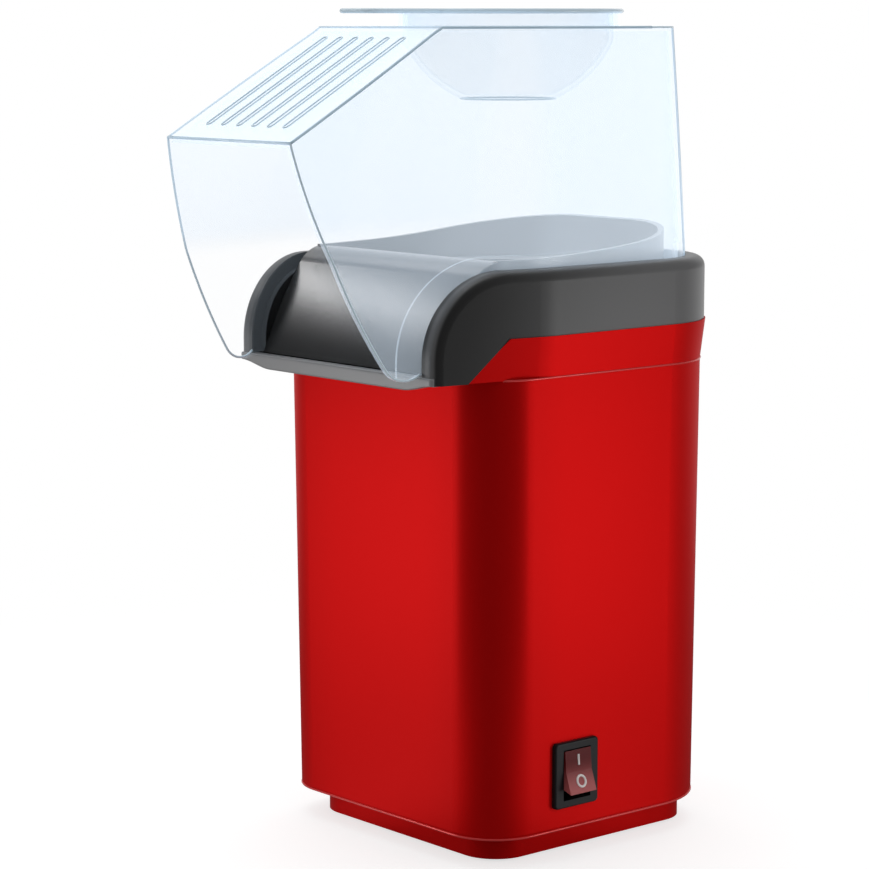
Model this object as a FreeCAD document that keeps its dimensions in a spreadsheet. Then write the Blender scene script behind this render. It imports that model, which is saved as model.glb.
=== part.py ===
import FreeCAD, Part
import math
import os
import Sketcher

Vector = FreeCAD.Vector

# Driving dimensions in millimetres (angles in degrees), one cell each.
DIMENSIONS = {
    # Stand and frame
    "foot_height": "1.2",
    "foot_radius": "5.0",
    "foot_round": "0.6",
    "foot_stem_radius": "2.2",
    "foot_margin": "10.5",        # foot centre inside the plinth's side
    "plinth_step": "9.2",         # plinth inside the housing's lower edge
    "plinth_corner": "14.0",
    "plinth_height": "9.6",
    "base_screw_spread": "34.5",
    "intake_radius": "42.0",      # round opening in the housing's floor
    "grille_inner": "20.0",
    "grille_outer": "37.0",
    "grille_slot": "3.0",
    "eye_inner": "8.0",           # inner circle of short slots
    "eye_outer": "16.0",
    # Housing
    "wall": "2.4",
    "body_taper": "1.5",          # how much further out each side stands at the top
    "body_corner_front": "20.0",
    "body_corner_back": "33.5",   # at the lower edge; the upper edge follows the collar
    "body_height": "163.2",
    "band_height": "14.6",
    "band_overhang": "0.5",
    "band_ledge": "0.36",         # inside, where the body's hollow meets the band's
    "band_front_top": "51.0",     # where the band's slanted front edge meets its top
    "band_front_bottom": "67.5",
    "boss_radius": "4.5",
    "boss_height": "18.0",
    "edge_round": "1.6",
    # Collar and spout cheeks
    "collar_half": "62.5",
    "collar_overhang": "1.3",     # collar beyond the housing's upper edge
    "collar_corner": "36.5",
    "collar_height": "23.0",
    "collar_lip": "7.0",
    "collar_round": "4.0",
    "skirt_depth": "6.0",
    "cheek_reach": "80.5",
    "cheek_start": "29.0",
    "cheek_bend": "60.0",
    "cheek_angle": "9.5",
    "arch_radius": "30.0",
    "seat_depth": "5.0",
    "apron_floor": "3.0",
    "collar_screw_inset": "9.8",   # from the housing's two walls at its front corners
    "collar_boss": "2.9",
    "collar_boss_depth": "8.0",    # housing boss under the collar's, below the seam
    # Chute liner
    "liner_wall": "2.2",
    "liner_gap": "0.3",
    "liner_corner": "38.0",       # round back of the bowl
    "well_depth": "5.4",
    "rim_front": "2.9",           # liner rim above the collar, at the crest and at the collar's back
    "rim_back": "13.1",
    "rim_sweep": "525.0",         # radius of the rim's rise, seen from the side
    "crest_rise": "2.4",
    "crest_reach": "46.0",
    "crest_radius": "15.0",
    "crest_angle": "50.0",
    "chute_radius": "134.0",
    "chute_reach": "77.2",
    # Hood
    "hood_gap": "0.3",
    "hood_wall": "1.8",
    "hood_rim": "0.8",
    "rim_top": "4.6",
    "rim_forward": "8.0",
    "hood_height": "82.6",        # roof above the collar
    "roof_half": "45.0",
    "roof_back": "48.5",
    "roof_corner": "13.0",
    "roof_start": "12.0",
    "roof_bend": "50.0",
    "roof_angle": "15.5",
    "nose_start": "62.0",
    "nose_half": "28.0",          # at the end of the drawn-out plan, in front of the slope
    "slope_start": "59.3",
    "slope_reach": "126.3",
    "slope_drop": "37.8",
    "front_edge_radius": "215.0",
    "tongue_front": "94.5",
    "tongue_rise": "6.0",
    "tongue_radius": "9.2",
    "slot_pitch": "8.6",
    "slot_width": "2.4",
    "slot_start_margin": "6.7",
    "slot_end_margin": "8.0",
    # Measuring cup
    "cup_back": "1.3",            # cup centre behind the body axis
    "cup_radius": "38.3",
    "cup_gap": "0.4",
    "cup_ring_wall": "1.8",
    "cup_ring_height": "4.6",
    "cup_wall": "1.6",
    "cup_depth": "31.0",
    "cup_straight": "10.0",
    "cup_base_radius": "17.0",
    "cup_round": "42.0",          # swell of the bowl between wall and base
    "cup_flange": "0.6",          # flange beyond the hood's ring
    "tab_reach": "71.0",
    "tab_half": "9.0",
    "tab_corner": "4.0",
    # Popping chamber, jacket and heater
    "sheet": "1.0",
    "chamber_depth": "64.0",
    "flange_room": "1.9",
    "flange_width": "10.0",
    "louvre_height": "9.0",
    "louvre_width": "2.0",
    "jacket_gap": "4.0",
    "heater_room": "29.0",        # from the chamber's floor down to the jacket's lower edge
    "mica_thickness": "1.2",
    "mica_height": "20.0",
    "coil_inner": "15.0",
    "coil_room": "8.5",           # from the ribbon's last turn to the jacket
    "coil_ribbon": "0.8",
    "coil_height": "6.0",
    "thermostat_radius": "8.0",
    "thermostat_height": "6.0",
    "fuse_radius": "2.0",
    "fuse_length": "11.0",
    # Fan and motor
    "fan_ear": "6.5",             # flange that carries the fan housing, beyond the jacket
    "fan_ledge": "1.5",
    "fan_wall": "2.6",
    "fan_height": "26.0",
    "fan_floor": "3.0",
    "fan_room": "5.5",            # from the wheel to the fan housing's wall
    "fan_disc": "1.6",
    "blade_height": "12.0",
    "blade_start": "14.0",
    "blade_thickness": "1.4",
    "fan_clearance": "3.0",
    "hub_radius": "5.0",
    "motor_radius": "16.0",
    "motor_length": "32.0",
    "motor_shell": "1.2",
    "motor_cap": "2.5",
    "motor_screw_spread": "10.0",
    "bush_radius": "3.0",
    "bush_length": "4.5",
    "shaft_radius": "1.5",
    "shaft_clearance": "0.04",
    "armature_radius": "11.0",
    "armature_length": "14.0",
    "pole_half_angle": "25.0",
    "magnet_thickness": "2.6",
    "board_half": "12.0",
    "board_thickness": "1.6",
    "diode_radius": "1.4",
    "diode_length": "6.0",
    # Switch, side wall
    "switch_forward": "20.0",
    "switch_height": "20.4",      # switch centre above the housing's lower edge
    "bezel_width": "21.0",
    "bezel_tall": "24.0",
    "bezel_thickness": "1.8",
    "switch_case_width": "17.6",
    "switch_case_tall": "20.6",
    "switch_case_depth": "17.0",
    "rocker_width": "12.4",
    "rocker_half_tall": "7.8",
    "rocker_face": "5.0",         # middle of the rocker's face, out from its pivot
    "rocker_dish": "1.0",
    "rocker_proud": "0.3",        # pressed end above the bezel
    "rocker_tilt": "12.0",
    "rocker_room": "0.35",
    "trunnion_radius": "1.5",
    "trunnion_clearance": "0.05",
    "blade_reach": "8.0",
    "blade_width": "4.8",
    # Cord inlet, rear wall
    "grommet_hole": "3.4",
    "grommet_radius": "5.2",
    "grommet_flange": "7.6",
    "grommet_height": "16.0",
    # Screws
    "screw_radius": "1.5",
    "small_screw_radius": "1.2",
    "pilot_room": "0.05",
    "screw_room": "0.2",
    "screw_head": "2.8",
    "screw_head_height": "1.8",
    "counterbore": "3.4",
}

GRILLE_SLOTS = 24
EYE_SLOTS = 12
VENT_SLOTS = 6
LOUVRES = 24
FAN_BLADES = 12
INTAKE_SLOTS = 8
ARMATURE_POLES = 5
COIL_TURNS = 3
QUARTER_SIGNS = ((1, 1), (-1, 1), (-1, -1), (1, -1))

doc = FreeCAD.newDocument("popcorn_maker")
sheet = doc.addObject("Spreadsheet::Sheet", "Dimensions")
for row, (alias, number) in enumerate(DIMENSIONS.items(), 1):
    sheet.set(f"A{row}", alias)
    sheet.set(f"B{row}", number)
    sheet.setAlias(f"B{row}", alias)
doc.recompute()

parts = {}


class Size:
    """A length that carries its number together with the cell formula that gives it."""

    def __init__(self, value, formula):
        self.value = value
        self.formula = formula

    def join(self, sign, other, value):
        return Size(value, f"({self.formula} {sign} {as_size(other).formula})")

    def __add__(self, other):
        return self.join("+", other, self.value + as_size(other).value)

    def __sub__(self, other):
        return self.join("-", other, self.value - as_size(other).value)

    def __mul__(self, other):
        return self.join("*", other, self.value * as_size(other).value)

    def __truediv__(self, other):
        return self.join("/", other, self.value / as_size(other).value)

    def __radd__(self, other):
        return as_size(other) + self

    def __rsub__(self, other):
        return as_size(other) - self

    def __rmul__(self, other):
        return as_size(other) * self

    def __neg__(self):
        return Size(-self.value, f"(0 - {self.formula})")


def as_size(thing):
    return thing if isinstance(thing, Size) else Size(float(thing), repr(float(thing)))


def dim(alias):
    return Size(float(sheet.get(alias)), f"Dimensions.{alias}")


def sine(angle):
    return Size(math.sin(math.radians(angle.value)), f"sin({angle.formula} * 1 deg)")


def cosine(angle):
    return Size(math.cos(math.radians(angle.value)), f"cos({angle.formula} * 1 deg)")


def root(size):
    return Size(math.sqrt(size.value), f"sqrt({size.formula})")


def bind(thing, **sizes):
    """Ties properties of a document object to the sheet."""
    for name, size in sizes.items():
        thing.setExpression(name, as_size(size).formula)


def move(thing, x=0, y=0, z=0):
    """Ties the three coordinates of a Placement to the sheet."""
    for axis, size in zip("xyz", (x, y, z)):
        thing.setExpression(f"Placement.Base.{axis}", as_size(size).formula)


# Levels above the table, each on top of the one before.
Z_PLINTH = dim("foot_height")
Z_BODY = Z_PLINTH + dim("plinth_height")
Z_SEAM = Z_BODY + dim("body_height")
Z_BAND = Z_SEAM + dim("band_height")
Z_COLLAR = Z_BAND + dim("collar_height")
Z_SKIRT = Z_BAND - dim("skirt_depth")
Z_WELL = Z_COLLAR - dim("well_depth")
Z_MOUTH = Z_WELL - dim("liner_wall")
Z_ROOF = Z_COLLAR + dim("hood_height")
Z_RING = Z_ROOF + dim("cup_ring_height")
Z_CHAMBER = Z_MOUTH - dim("chamber_depth")
Z_JACKET = Z_CHAMBER - dim("heater_room")
Z_FAN = Z_JACKET - dim("fan_height")
Z_MOTOR = Z_FAN - dim("motor_length")
Z_SWITCH = Z_BODY + dim("switch_height")

# Insets from the collar's outline, each fit following the one before.
HOOD_INSET = dim("collar_lip") + dim("hood_gap")
SEAT_INSET = HOOD_INSET + dim("hood_wall") + dim("hood_rim")
LINER_INSET = SEAT_INSET + dim("liner_gap")
BODY_INSET = dim("collar_overhang")
BODY_TOP = dim("collar_half") - BODY_INSET
BODY_BOTTOM = BODY_TOP - dim("body_taper")
BODY_LEAN = dim("body_taper") / dim("body_height")
PLINTH_HALF = BODY_BOTTOM - dim("plinth_step")
FOOT_SPREAD = PLINTH_HALF - dim("foot_margin")
FLANGE_RADIUS = dim("collar_half") - LINER_INSET - dim("liner_wall") - dim("flange_room")
CHAMBER_RADIUS = FLANGE_RADIUS - dim("flange_width")
JACKET_RADIUS = CHAMBER_RADIUS + dim("jacket_gap")
RING_RADIUS = dim("cup_radius") + dim("cup_gap") + dim("cup_ring_wall")
FAN_RADIUS = JACKET_RADIUS + dim("sheet") + dim("fan_ear")
FAN_INSIDE = JACKET_RADIUS - dim("fan_ledge")
WHEEL_RADIUS = FAN_INSIDE - dim("fan_room")
FAR = 3 * dim("collar_half")

# The origin is under the middle of the overall depth; the body axis stands behind it.
AXIS_BACK = (dim("slope_reach") - dim("collar_half") - dim("band_overhang")) / 2
EDGE_ROOM = 1.0


class Outline:
    """A closed outline of lines and arcs whose corners and radii are sizes."""

    def __init__(self, x, y):
        self.corners = [(as_size(x), as_size(y))]
        self.bends = []

    def line(self, x, y):
        return self.step(x, y, None)

    def arc(self, x, y, radius, clockwise=False):
        return self.step(x, y, (as_size(radius), clockwise))

    def step(self, x, y, bend):
        self.bends.append(bend)
        self.corners.append((as_size(x), as_size(y)))
        return self

    def close(self):
        self.bends.append(None)
        return self

    def close_arc(self, radius, clockwise=False):
        self.bends.append((as_size(radius), clockwise))
        return self

    def draw(self, sketch):
        count = len(self.corners)
        ends = []
        for index, bend in enumerate(self.bends):
            start = point(self.corners[index])
            stop = point(self.corners[(index + 1) % count])
            if bend is None:
                sketch.addGeometry(Part.LineSegment(start, stop), False)
                ends.append((1, 2))
            else:
                radius, clockwise = bend
                sketch.addGeometry(Part.Arc(start, arc_middle(start, stop, radius.value, clockwise), stop))
                ends.append((2, 1) if clockwise else (1, 2))
        for index, bend in enumerate(self.bends):
            following = (index + 1) % count
            tie = Sketcher.Constraint("Coincident", index, ends[index][1], following, ends[following][0])
            sketch.addConstraint(tie)
            for kind, size in zip(("DistanceX", "DistanceY"), self.corners[index]):
                place = Sketcher.Constraint(kind, -1, 1, index, ends[index][0], size.value)
                dimension(sketch, place, size)
            if bend is not None:
                dimension(sketch, Sketcher.Constraint("Radius", index, bend[0].value), bend[0])
        return sketch


def point(corner):
    return Vector(corner[0].value, corner[1].value, 0)


def arc_middle(start, stop, radius, clockwise):
    """Middle of the shorter arc of this radius between two points."""
    chord = stop - start
    half = chord.Length / 2
    rise = radius - math.sqrt(max(radius * radius - half * half, 0.0))
    normal = Vector(chord.y, -chord.x, 0).normalize()
    if clockwise:
        normal = -normal
    return (start + stop) * 0.5 + normal * rise


def dimension(sketch, constraint, size):
    index = sketch.addConstraint(constraint)
    sketch.setExpression(f"Constraints[{index}]", size.formula)


def rounded_rectangle(half_x, half_y, corner, x=0, y=0, front=None):
    """Rectangle with quarter-round corners about a centre; the front pair may have a radius of its own."""
    front = corner if front is None else front
    right, left = x + as_size(half_x), x - as_size(half_x)
    top, bottom = y + as_size(half_y), y - as_size(half_y)
    outline = Outline(left + front, bottom).line(right - front, bottom)
    outline.arc(right, bottom + front, front).line(right, top - corner)
    outline.arc(right - corner, top, corner).line(left + corner, top)
    outline.arc(left, top - corner, corner).line(left, bottom + front)
    return outline.close_arc(front)


def body_plan(half, back_corner, inset=0):
    """The housing's square plan moved inwards by an inset, with its smaller front corners."""
    side = half - inset
    return rounded_rectangle(side, side, back_corner - inset, front=dim("body_corner_front") - inset)


def rectangle(x_low, x_high, y_low, y_high):
    return Outline(x_low, y_low).line(x_high, y_low).line(x_high, y_high).line(x_low, y_high).close()


def spout_outline(half, back, corner, start, bend, angle, knee, nose, front):
    """Plan of the top pieces: round back corners, straight sides and cheeks that close towards the front."""
    turn_x = half - bend * (1 - cosine(angle))
    turn_y = -(start + bend * sine(angle))
    slope = sine(angle) / cosine(angle)
    knee_x = turn_x - slope * (knee + turn_y)
    nose_x = knee_x - slope * (front - knee) if nose is None else nose
    outline = Outline(nose_x, -front).line(knee_x, -knee).line(turn_x, turn_y)
    outline.arc(half, -start, bend).line(half, back - corner)
    outline.arc(half - corner, back, corner).line(corner - half, back)
    outline.arc(-half, back - corner, corner).line(-half, -start)
    outline.arc(-turn_x, turn_y, bend).line(-knee_x, -knee).line(-nose_x, -front)
    return outline.close()


def collar_plan(inset, front=None):
    """The collar's plan moved inwards by an inset, ending at the cheeks' front or at a stated reach."""
    inset = as_size(inset)
    half = dim("collar_half") - inset
    reach = dim("cheek_reach") if front is None else as_size(front)
    knee = (dim("cheek_start") + reach) / 2
    return spout_outline(half, half, dim("collar_corner") - inset, dim("cheek_start"),
                         dim("cheek_bend") - inset, dim("cheek_angle"), knee, None, reach)


def bowl_plan(inset, front=None):
    """Plan of the liner's upright wall: the collar's plan with a rounder back."""
    half = dim("collar_half") - LINER_INSET - inset
    reach = dim("cheek_reach") if front is None else as_size(front)
    knee = (dim("cheek_start") + reach) / 2
    return spout_outline(half, half, dim("liner_corner") - inset, dim("cheek_start"),
                         dim("cheek_bend") - LINER_INSET - inset, dim("cheek_angle"), knee, None, reach)


def roof_plan(inset):
    """The hood's plan at its roof: narrower than the collar, with a nose that closes a little."""
    inset = as_size(inset)
    return spout_outline(dim("roof_half") - inset, dim("roof_back") - inset, dim("roof_corner") - inset,
                         dim("roof_start"), dim("roof_bend") - inset, dim("roof_angle"),
                         dim("nose_start"), dim("nose_half") - inset, FAR)


def hood_plan(inset):
    """The hood's plan where it stands in the collar, drawn out to the length of its nose."""
    inset = as_size(inset)
    half = dim("collar_half") - inset
    return spout_outline(half, half, dim("collar_corner") - inset, dim("cheek_start"),
                         dim("cheek_bend") - inset, dim("cheek_angle"), dim("cheek_reach"), None, FAR)


ROTATIONS = {
    "XY": FreeCAD.Rotation(),
    "XZ": FreeCAD.Rotation(Vector(1, 0, 0), 90),
    "YZ": FreeCAD.Rotation(Vector(1, 1, 1), 120),
}


def free_sketch(name, plane, outline, offset=0):
    """Sketch on a principal plane, moved along that plane's normal."""
    sketch = doc.addObject("Sketcher::SketchObject", name)
    sketch.Placement = FreeCAD.Placement(Vector(), ROTATIONS[plane])
    for axis, own in zip("xyz", ("YZ", "XZ", "XY")):
        if own == plane:
            sketch.setExpression(f"Placement.Base.{axis}", as_size(offset).formula)
    return outline.draw(sketch)


def prism(name, outline, bottom, top):
    """Upright block of a plan outline between two levels."""
    block = doc.addObject("Part::Extrusion", name)
    block.Base = free_sketch(f"{name}_plan", "XY", outline, bottom)
    block.DirMode = "Normal"
    block.Solid = True
    bind(block, LengthFwd=as_size(top) - bottom)
    return block


def side_prism(name, outline, half_width, centre=0):
    """Block of a side view (Y across, Z up) that runs equally to both sides of a plane of constant X."""
    block = doc.addObject("Part::Extrusion", name)
    block.Base = free_sketch(f"{name}_side", "YZ", outline, centre)
    block.DirMode = "Normal"
    block.Solid = True
    block.Symmetric = True
    bind(block, LengthFwd=2 * as_size(half_width))
    return block


def loft(name, *sections):
    """Ruled solid through plan outlines at their levels."""
    solid = doc.addObject("Part::Loft", name)
    solid.Sections = [free_sketch(f"{name}_{index}", "XY", outline, level)
                      for index, (outline, level) in enumerate(sections)]
    solid.Solid = True
    solid.Ruled = True
    return solid


def turned(name, outline, x=0, y=0, z=0):
    """Solid of revolution about an upright axis; the outline gives radius and height."""
    solid = doc.addObject("Part::Revolution", name)
    solid.Source = free_sketch(f"{name}_profile", "XZ", outline)
    solid.Axis = Vector(0, 0, 1)
    solid.Angle = 360
    solid.Solid = True
    move(solid, x, y, z)
    return solid


def cylinder(name, radius, height, x=0, y=0, z=0):
    solid = doc.addObject("Part::Cylinder", name)
    bind(solid, Radius=radius, Height=height)
    move(solid, x, y, z)
    return solid


def cross_cylinder(name, radius, length, direction, x, y, z):
    """Cylinder lying along X or Y, from the given start."""
    solid = doc.addObject("Part::Cylinder", name)
    turn = {"X": (Vector(0, 1, 0), 90), "Y": (Vector(1, 0, 0), -90)}[direction]
    solid.Placement = FreeCAD.Placement(Vector(), FreeCAD.Rotation(*turn))
    bind(solid, Radius=radius, Height=length)
    move(solid, x, y, z)
    return solid


def box(name, x_low, x_high, y_low, y_high, z_low, z_high):
    solid = doc.addObject("Part::Box", name)
    bind(solid, Length=as_size(x_high) - x_low, Width=as_size(y_high) - y_low, Height=as_size(z_high) - z_low)
    move(solid, x_low, y_low, z_low)
    return solid


def cut(name, base, *tools):
    """Base less all the tools; its faces stay as they were cut, which suits the leaning walls."""
    solid = doc.addObject("Part::Cut", name)
    solid.Base = base
    solid.Tool = tools[0] if len(tools) == 1 else fuse(f"{name}_tools", *tools)
    solid.Refine = False
    return solid


def fuse(name, *pieces):
    """All the pieces joined, with their faces left as they were."""
    solid = doc.addObject("Part::MultiFuse", name)
    solid.Shapes = list(pieces)
    solid.Refine = False
    return solid


def common(name, *pieces):
    solid = doc.addObject("Part::MultiCommon", name)
    solid.Shapes = list(pieces)
    return solid


def group(name, pieces):
    """Identical loose solids kept as one named piece."""
    solid = doc.addObject("Part::Compound", name)
    solid.Links = list(pieces)
    return solid


def rounded(name, base, radius, chosen):
    """Rounds the edges of a solid that a test picks out."""
    doc.recompute()
    fillet = doc.addObject("Part::Fillet", name)
    fillet.Base = base
    indexes = [index for index, edge in enumerate(base.Shape.Edges, 1) if chosen(edge)]
    fillet.Edges = [(index, radius.value, radius.value) for index in indexes]
    return fillet


def keep(label, solid):
    """Registers a finished sub-part and moves it from the body axis to the part's own origin."""
    solid.setExpression("Placement.Base.y", AXIS_BACK.formula)
    solid.Label = label
    parts[label] = solid


def make_body(name):
    return doc.addObject("PartDesign::Body", name)


def body_sketch(body, name, role, outline, offset=0):
    """Sketch on one of a body's own origin planes, moved along its normal."""
    sketch = body.newObject("Sketcher::SketchObject", name)
    plane = next(feature for feature in body.Origin.OriginFeatures if feature.Role == role)
    sketch.AttachmentSupport = [(plane, "")]
    sketch.MapMode = "FlatFace"
    sketch.setExpression("AttachmentOffset.Base.z", as_size(offset).formula)
    outline.draw(sketch)
    return sketch


def pad(body, name, role, outline, length, offset=0):
    feature = body.newObject("PartDesign::Pad", name)
    feature.Profile = body_sketch(body, f"{name}_sketch", role, outline, offset)
    bind(feature, Length=length)
    doc.recompute()
    return feature


def pocket(body, name, role, outline, length, offset=0, backwards=False):
    """Cuts a pocket and makes sure that it took material away."""
    before = body.Shape.Volume
    feature = body.newObject("PartDesign::Pocket", name)
    feature.Profile = body_sketch(body, f"{name}_sketch", role, outline, offset)
    feature.Reversed = backwards
    bind(feature, Length=length)
    doc.recompute()
    if body.Shape.Volume >= before:
        raise RuntimeError(f"{name} cut nothing")
    return feature


def revolve(body, name, outline):
    """Turned feature about the body's upright axis."""
    feature = body.newObject("PartDesign::Revolution", name)
    sketch = body_sketch(body, f"{name}_sketch", "XZ_Plane", outline)
    feature.Profile = sketch
    feature.ReferenceAxis = (sketch, ["V_Axis"])
    feature.Angle = 360
    doc.recompute()
    return feature


def repeat_round(body, name, feature, count):
    """Repeats a feature evenly about the body's upright axis."""
    pattern = body.newObject("PartDesign::PolarPattern", name)
    pattern.Originals = [feature]
    pattern.Axis = (feature.Profile[0], ["N_Axis"])
    pattern.Angle = 360
    pattern.Occurrences = count
    body.Tip = pattern
    doc.recompute()
    return pattern


def screw(name, length, x, y, z, upwards=True, small=False):
    """Pan-head screw whose head sits at z, with the shank running up or down from it."""
    sign = 1 if upwards else -1
    shank = dim("small_screw_radius") if small else dim("screw_radius")
    size = shank / dim("screw_radius")
    head = dim("screw_head") * size
    thick = dim("screw_head_height") * size
    profile = Outline(0, -sign * thick).line(head, -sign * thick).line(head, 0).line(shank, 0)
    profile.line(shank, sign * length).line(0, sign * length).close()
    return turned(name, profile, x, y, z)


def pilot_holes(name, places, length, z, radius):
    """Round holes at several places, each with a little room for its screw."""
    return [cylinder(f"{name}_{index}", radius, length, x, y, z) for index, x, y in places]


def make_base():
    """Plinth tray with its intake grille, the feet under it and the screws that hold it."""
    half, corner = PLINTH_HALF, dim("plinth_corner")
    wall, height = dim("wall"), dim("plinth_height")
    spread = dim("base_screw_spread")
    body = make_body("base_cover_body")
    pad(body, "plinth_block", "XY_Plane", rounded_rectangle(half, half, corner), height, Z_PLINTH)
    inside = rounded_rectangle(half - wall, half - wall, corner - wall)
    pocket(body, "plinth_hollow", "XY_Plane", inside, height - wall, Z_BODY)
    slot = rounded_rectangle(dim("grille_slot") / 2, (dim("grille_outer") - dim("grille_inner")) / 2,
                             dim("grille_slot") * 0.4, 0, (dim("grille_outer") + dim("grille_inner")) / 2)
    opening = pocket(body, "grille_slot_cut", "XY_Plane", slot, wall * 2, Z_PLINTH + wall)
    repeat_round(body, "grille", opening, GRILLE_SLOTS)
    short = rectangle(-dim("grille_slot") / 2, dim("grille_slot") / 2, dim("eye_inner"), dim("eye_outer"))
    opening = pocket(body, "eye_slot_cut", "XY_Plane", short, wall * 2, Z_PLINTH + wall)
    repeat_round(body, "grille_eye", opening, EYE_SLOTS)
    ring_outer = dim("intake_radius") - dim("hood_gap")
    ring = turned("locating_ring", rectangle(ring_outer - wall, ring_outer, Z_PLINTH, Z_BODY + 2 * wall))
    posts = []
    bores = []
    bore = dim("screw_radius") + dim("screw_room")
    for index, (side_x, side_y) in enumerate(QUARTER_SIGNS):
        x, y = side_x * spread, side_y * spread
        posts.append(cylinder(f"base_post_{index}", dim("boss_radius"), height, x, y, Z_PLINTH))
        bores.append(cylinder(f"base_bore_{index}", bore, height * 2, x, y))
        bores.append(cylinder(f"base_counterbore_{index}", dim("counterbore"), height / 2, x, y, Z_PLINTH))
        foot = FOOT_SPREAD
        bores.append(cylinder(f"foot_hole_{index}", dim("foot_stem_radius"), wall * 2,
                              side_x * foot, side_y * foot, Z_PLINTH - wall / 2))
    keep("base_cover", cut("base_cover", fuse("base_solid", body, ring, *posts), *bores))

    soft = dim("foot_round")
    foot_profile = Outline(0, 0).line(dim("foot_radius") - soft, 0)
    foot_profile.arc(dim("foot_radius"), soft, soft).line(dim("foot_radius"), Z_PLINTH)
    foot_profile.line(dim("foot_stem_radius"), Z_PLINTH).line(dim("foot_stem_radius"), Z_PLINTH + wall)
    foot_profile.line(0, Z_PLINTH + wall).close()
    feet = [turned(f"foot_{index}", foot_profile, side_x * FOOT_SPREAD, side_y * FOOT_SPREAD)
            for index, (side_x, side_y) in enumerate(QUARTER_SIGNS)]
    keep("rubber_feet", group("rubber_feet", feet))
    seat = Z_PLINTH + height / 2
    screws = [screw(f"base_screw_{index}", height / 2 + dim("boss_height") * 0.8, side_x * spread,
                    side_y * spread, seat) for index, (side_x, side_y) in enumerate(QUARTER_SIGNS)]
    keep("base_screws", group("base_screws", screws))


def band_side(front_extra, top):
    """Side view of the space behind the band's slanted front edge, up to a level."""
    run = dim("band_front_bottom") - dim("band_front_top")
    reach_top = dim("band_front_bottom") - run * (as_size(top) - Z_SEAM) / dim("band_height")
    outline = Outline(-(dim("band_front_bottom") + front_extra), Z_SEAM).line(FAR, Z_SEAM).line(FAR, top)
    return outline.line(-(reach_top + front_extra), top).close()


def make_housing():
    """Tapered shell with a floor, screw bosses, the flared band and the holes for switch and cord."""
    wall = dim("wall")
    low, high = BODY_BOTTOM, BODY_TOP
    corner_low = dim("body_corner_back")
    corner_high = dim("collar_corner") - BODY_INSET
    outer = loft("body_outer", (body_plan(low, corner_low), Z_BODY), (body_plan(high, corner_high), Z_SEAM))
    soft = rounded("body_soft", outer, dim("edge_round"),
                   lambda edge: edge.BoundBox.ZMax < Z_BODY.value + 0.01)
    flare = loft("band_outer", (collar_plan(BODY_INSET), Z_SEAM),
                 (collar_plan(-dim("band_overhang")), Z_BAND))
    band = common("band", flare, side_prism("band_reach", band_side(0, Z_BAND), FAR))
    shell = fuse("housing_outer", soft, band)
    hollow = loft("body_hollow", (body_plan(low, corner_low, wall), Z_BODY + wall),
                  (body_plan(high, corner_high, wall), Z_SEAM + wall + EDGE_ROOM))
    ledge = collar_plan(BODY_INSET + wall + dim("band_ledge"), FAR / 2)
    band_hollow = loft("band_hollow", (ledge, Z_SEAM + wall),
                       (collar_plan(wall - dim("band_overhang"), FAR / 2), Z_BAND + EDGE_ROOM))
    intake = cylinder("intake_opening", dim("intake_radius"), wall * 4, 0, 0, Z_BODY - wall)
    case_y, case_z = dim("switch_case_width") / 2, dim("switch_case_tall") / 2
    switch_hole = box("switch_hole", high / 2, FAR, -dim("switch_forward") - case_y - 0.2,
                      -dim("switch_forward") + case_y + 0.2, Z_SWITCH - case_z - 0.2, Z_SWITCH + case_z + 0.2)
    cord_hole = cross_cylinder("cord_hole", dim("grommet_radius"), FAR, "Y", 0, low / 2,
                               Z_BODY + dim("grommet_height"))
    emptied = cut("housing_hollow", shell, hollow, band_hollow)
    hollowed = cut("housing_shell", emptied, intake, switch_hole, cord_hole)
    deep = dim("collar_boss_depth")
    bosses = [cylinder(f"seam_boss_{index}", dim("boss_radius"), deep + wall, x, y, Z_SEAM - deep)
              for index, x, y in collar_screw_places()]
    pilots = pilot_holes("collar_hole", collar_screw_places(), deep + 2 * wall, Z_SEAM - deep - wall / 2,
                         dim("screw_radius") + dim("screw_room"))
    for index, (side_x, side_y) in enumerate(QUARTER_SIGNS):
        x, y = side_x * dim("base_screw_spread"), side_y * dim("base_screw_spread")
        bosses.append(cylinder(f"boss_{index}", dim("boss_radius"), dim("boss_height"), x, y, Z_BODY))
        pilots.append(cylinder(f"pilot_{index}", dim("screw_radius"), dim("boss_height"), x, y, Z_BODY - 1))
    solid = cut("housing", fuse("housing_with_bosses", hollowed, *bosses), *pilots)
    keep("housing", solid)


def collar_screw_places():
    """Screws that come up inside the housing's front corners."""
    spread = BODY_TOP - dim("collar_screw_inset")
    return [(0, spread, -spread), (1, -spread, -spread)]


def arch_side(inset, bottom):
    """Side view under the cheeks' arch, moved inwards by an inset."""
    radius = dim("arch_radius")
    reach = dim("cheek_reach")
    outline = Outline(-(reach - inset), bottom).line(-(reach - inset), Z_COLLAR - radius)
    outline.arc(radius - reach, Z_COLLAR - inset, radius - inset, clockwise=True)
    return outline.line(FAR, Z_COLLAR - inset).line(FAR, bottom).close()


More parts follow.
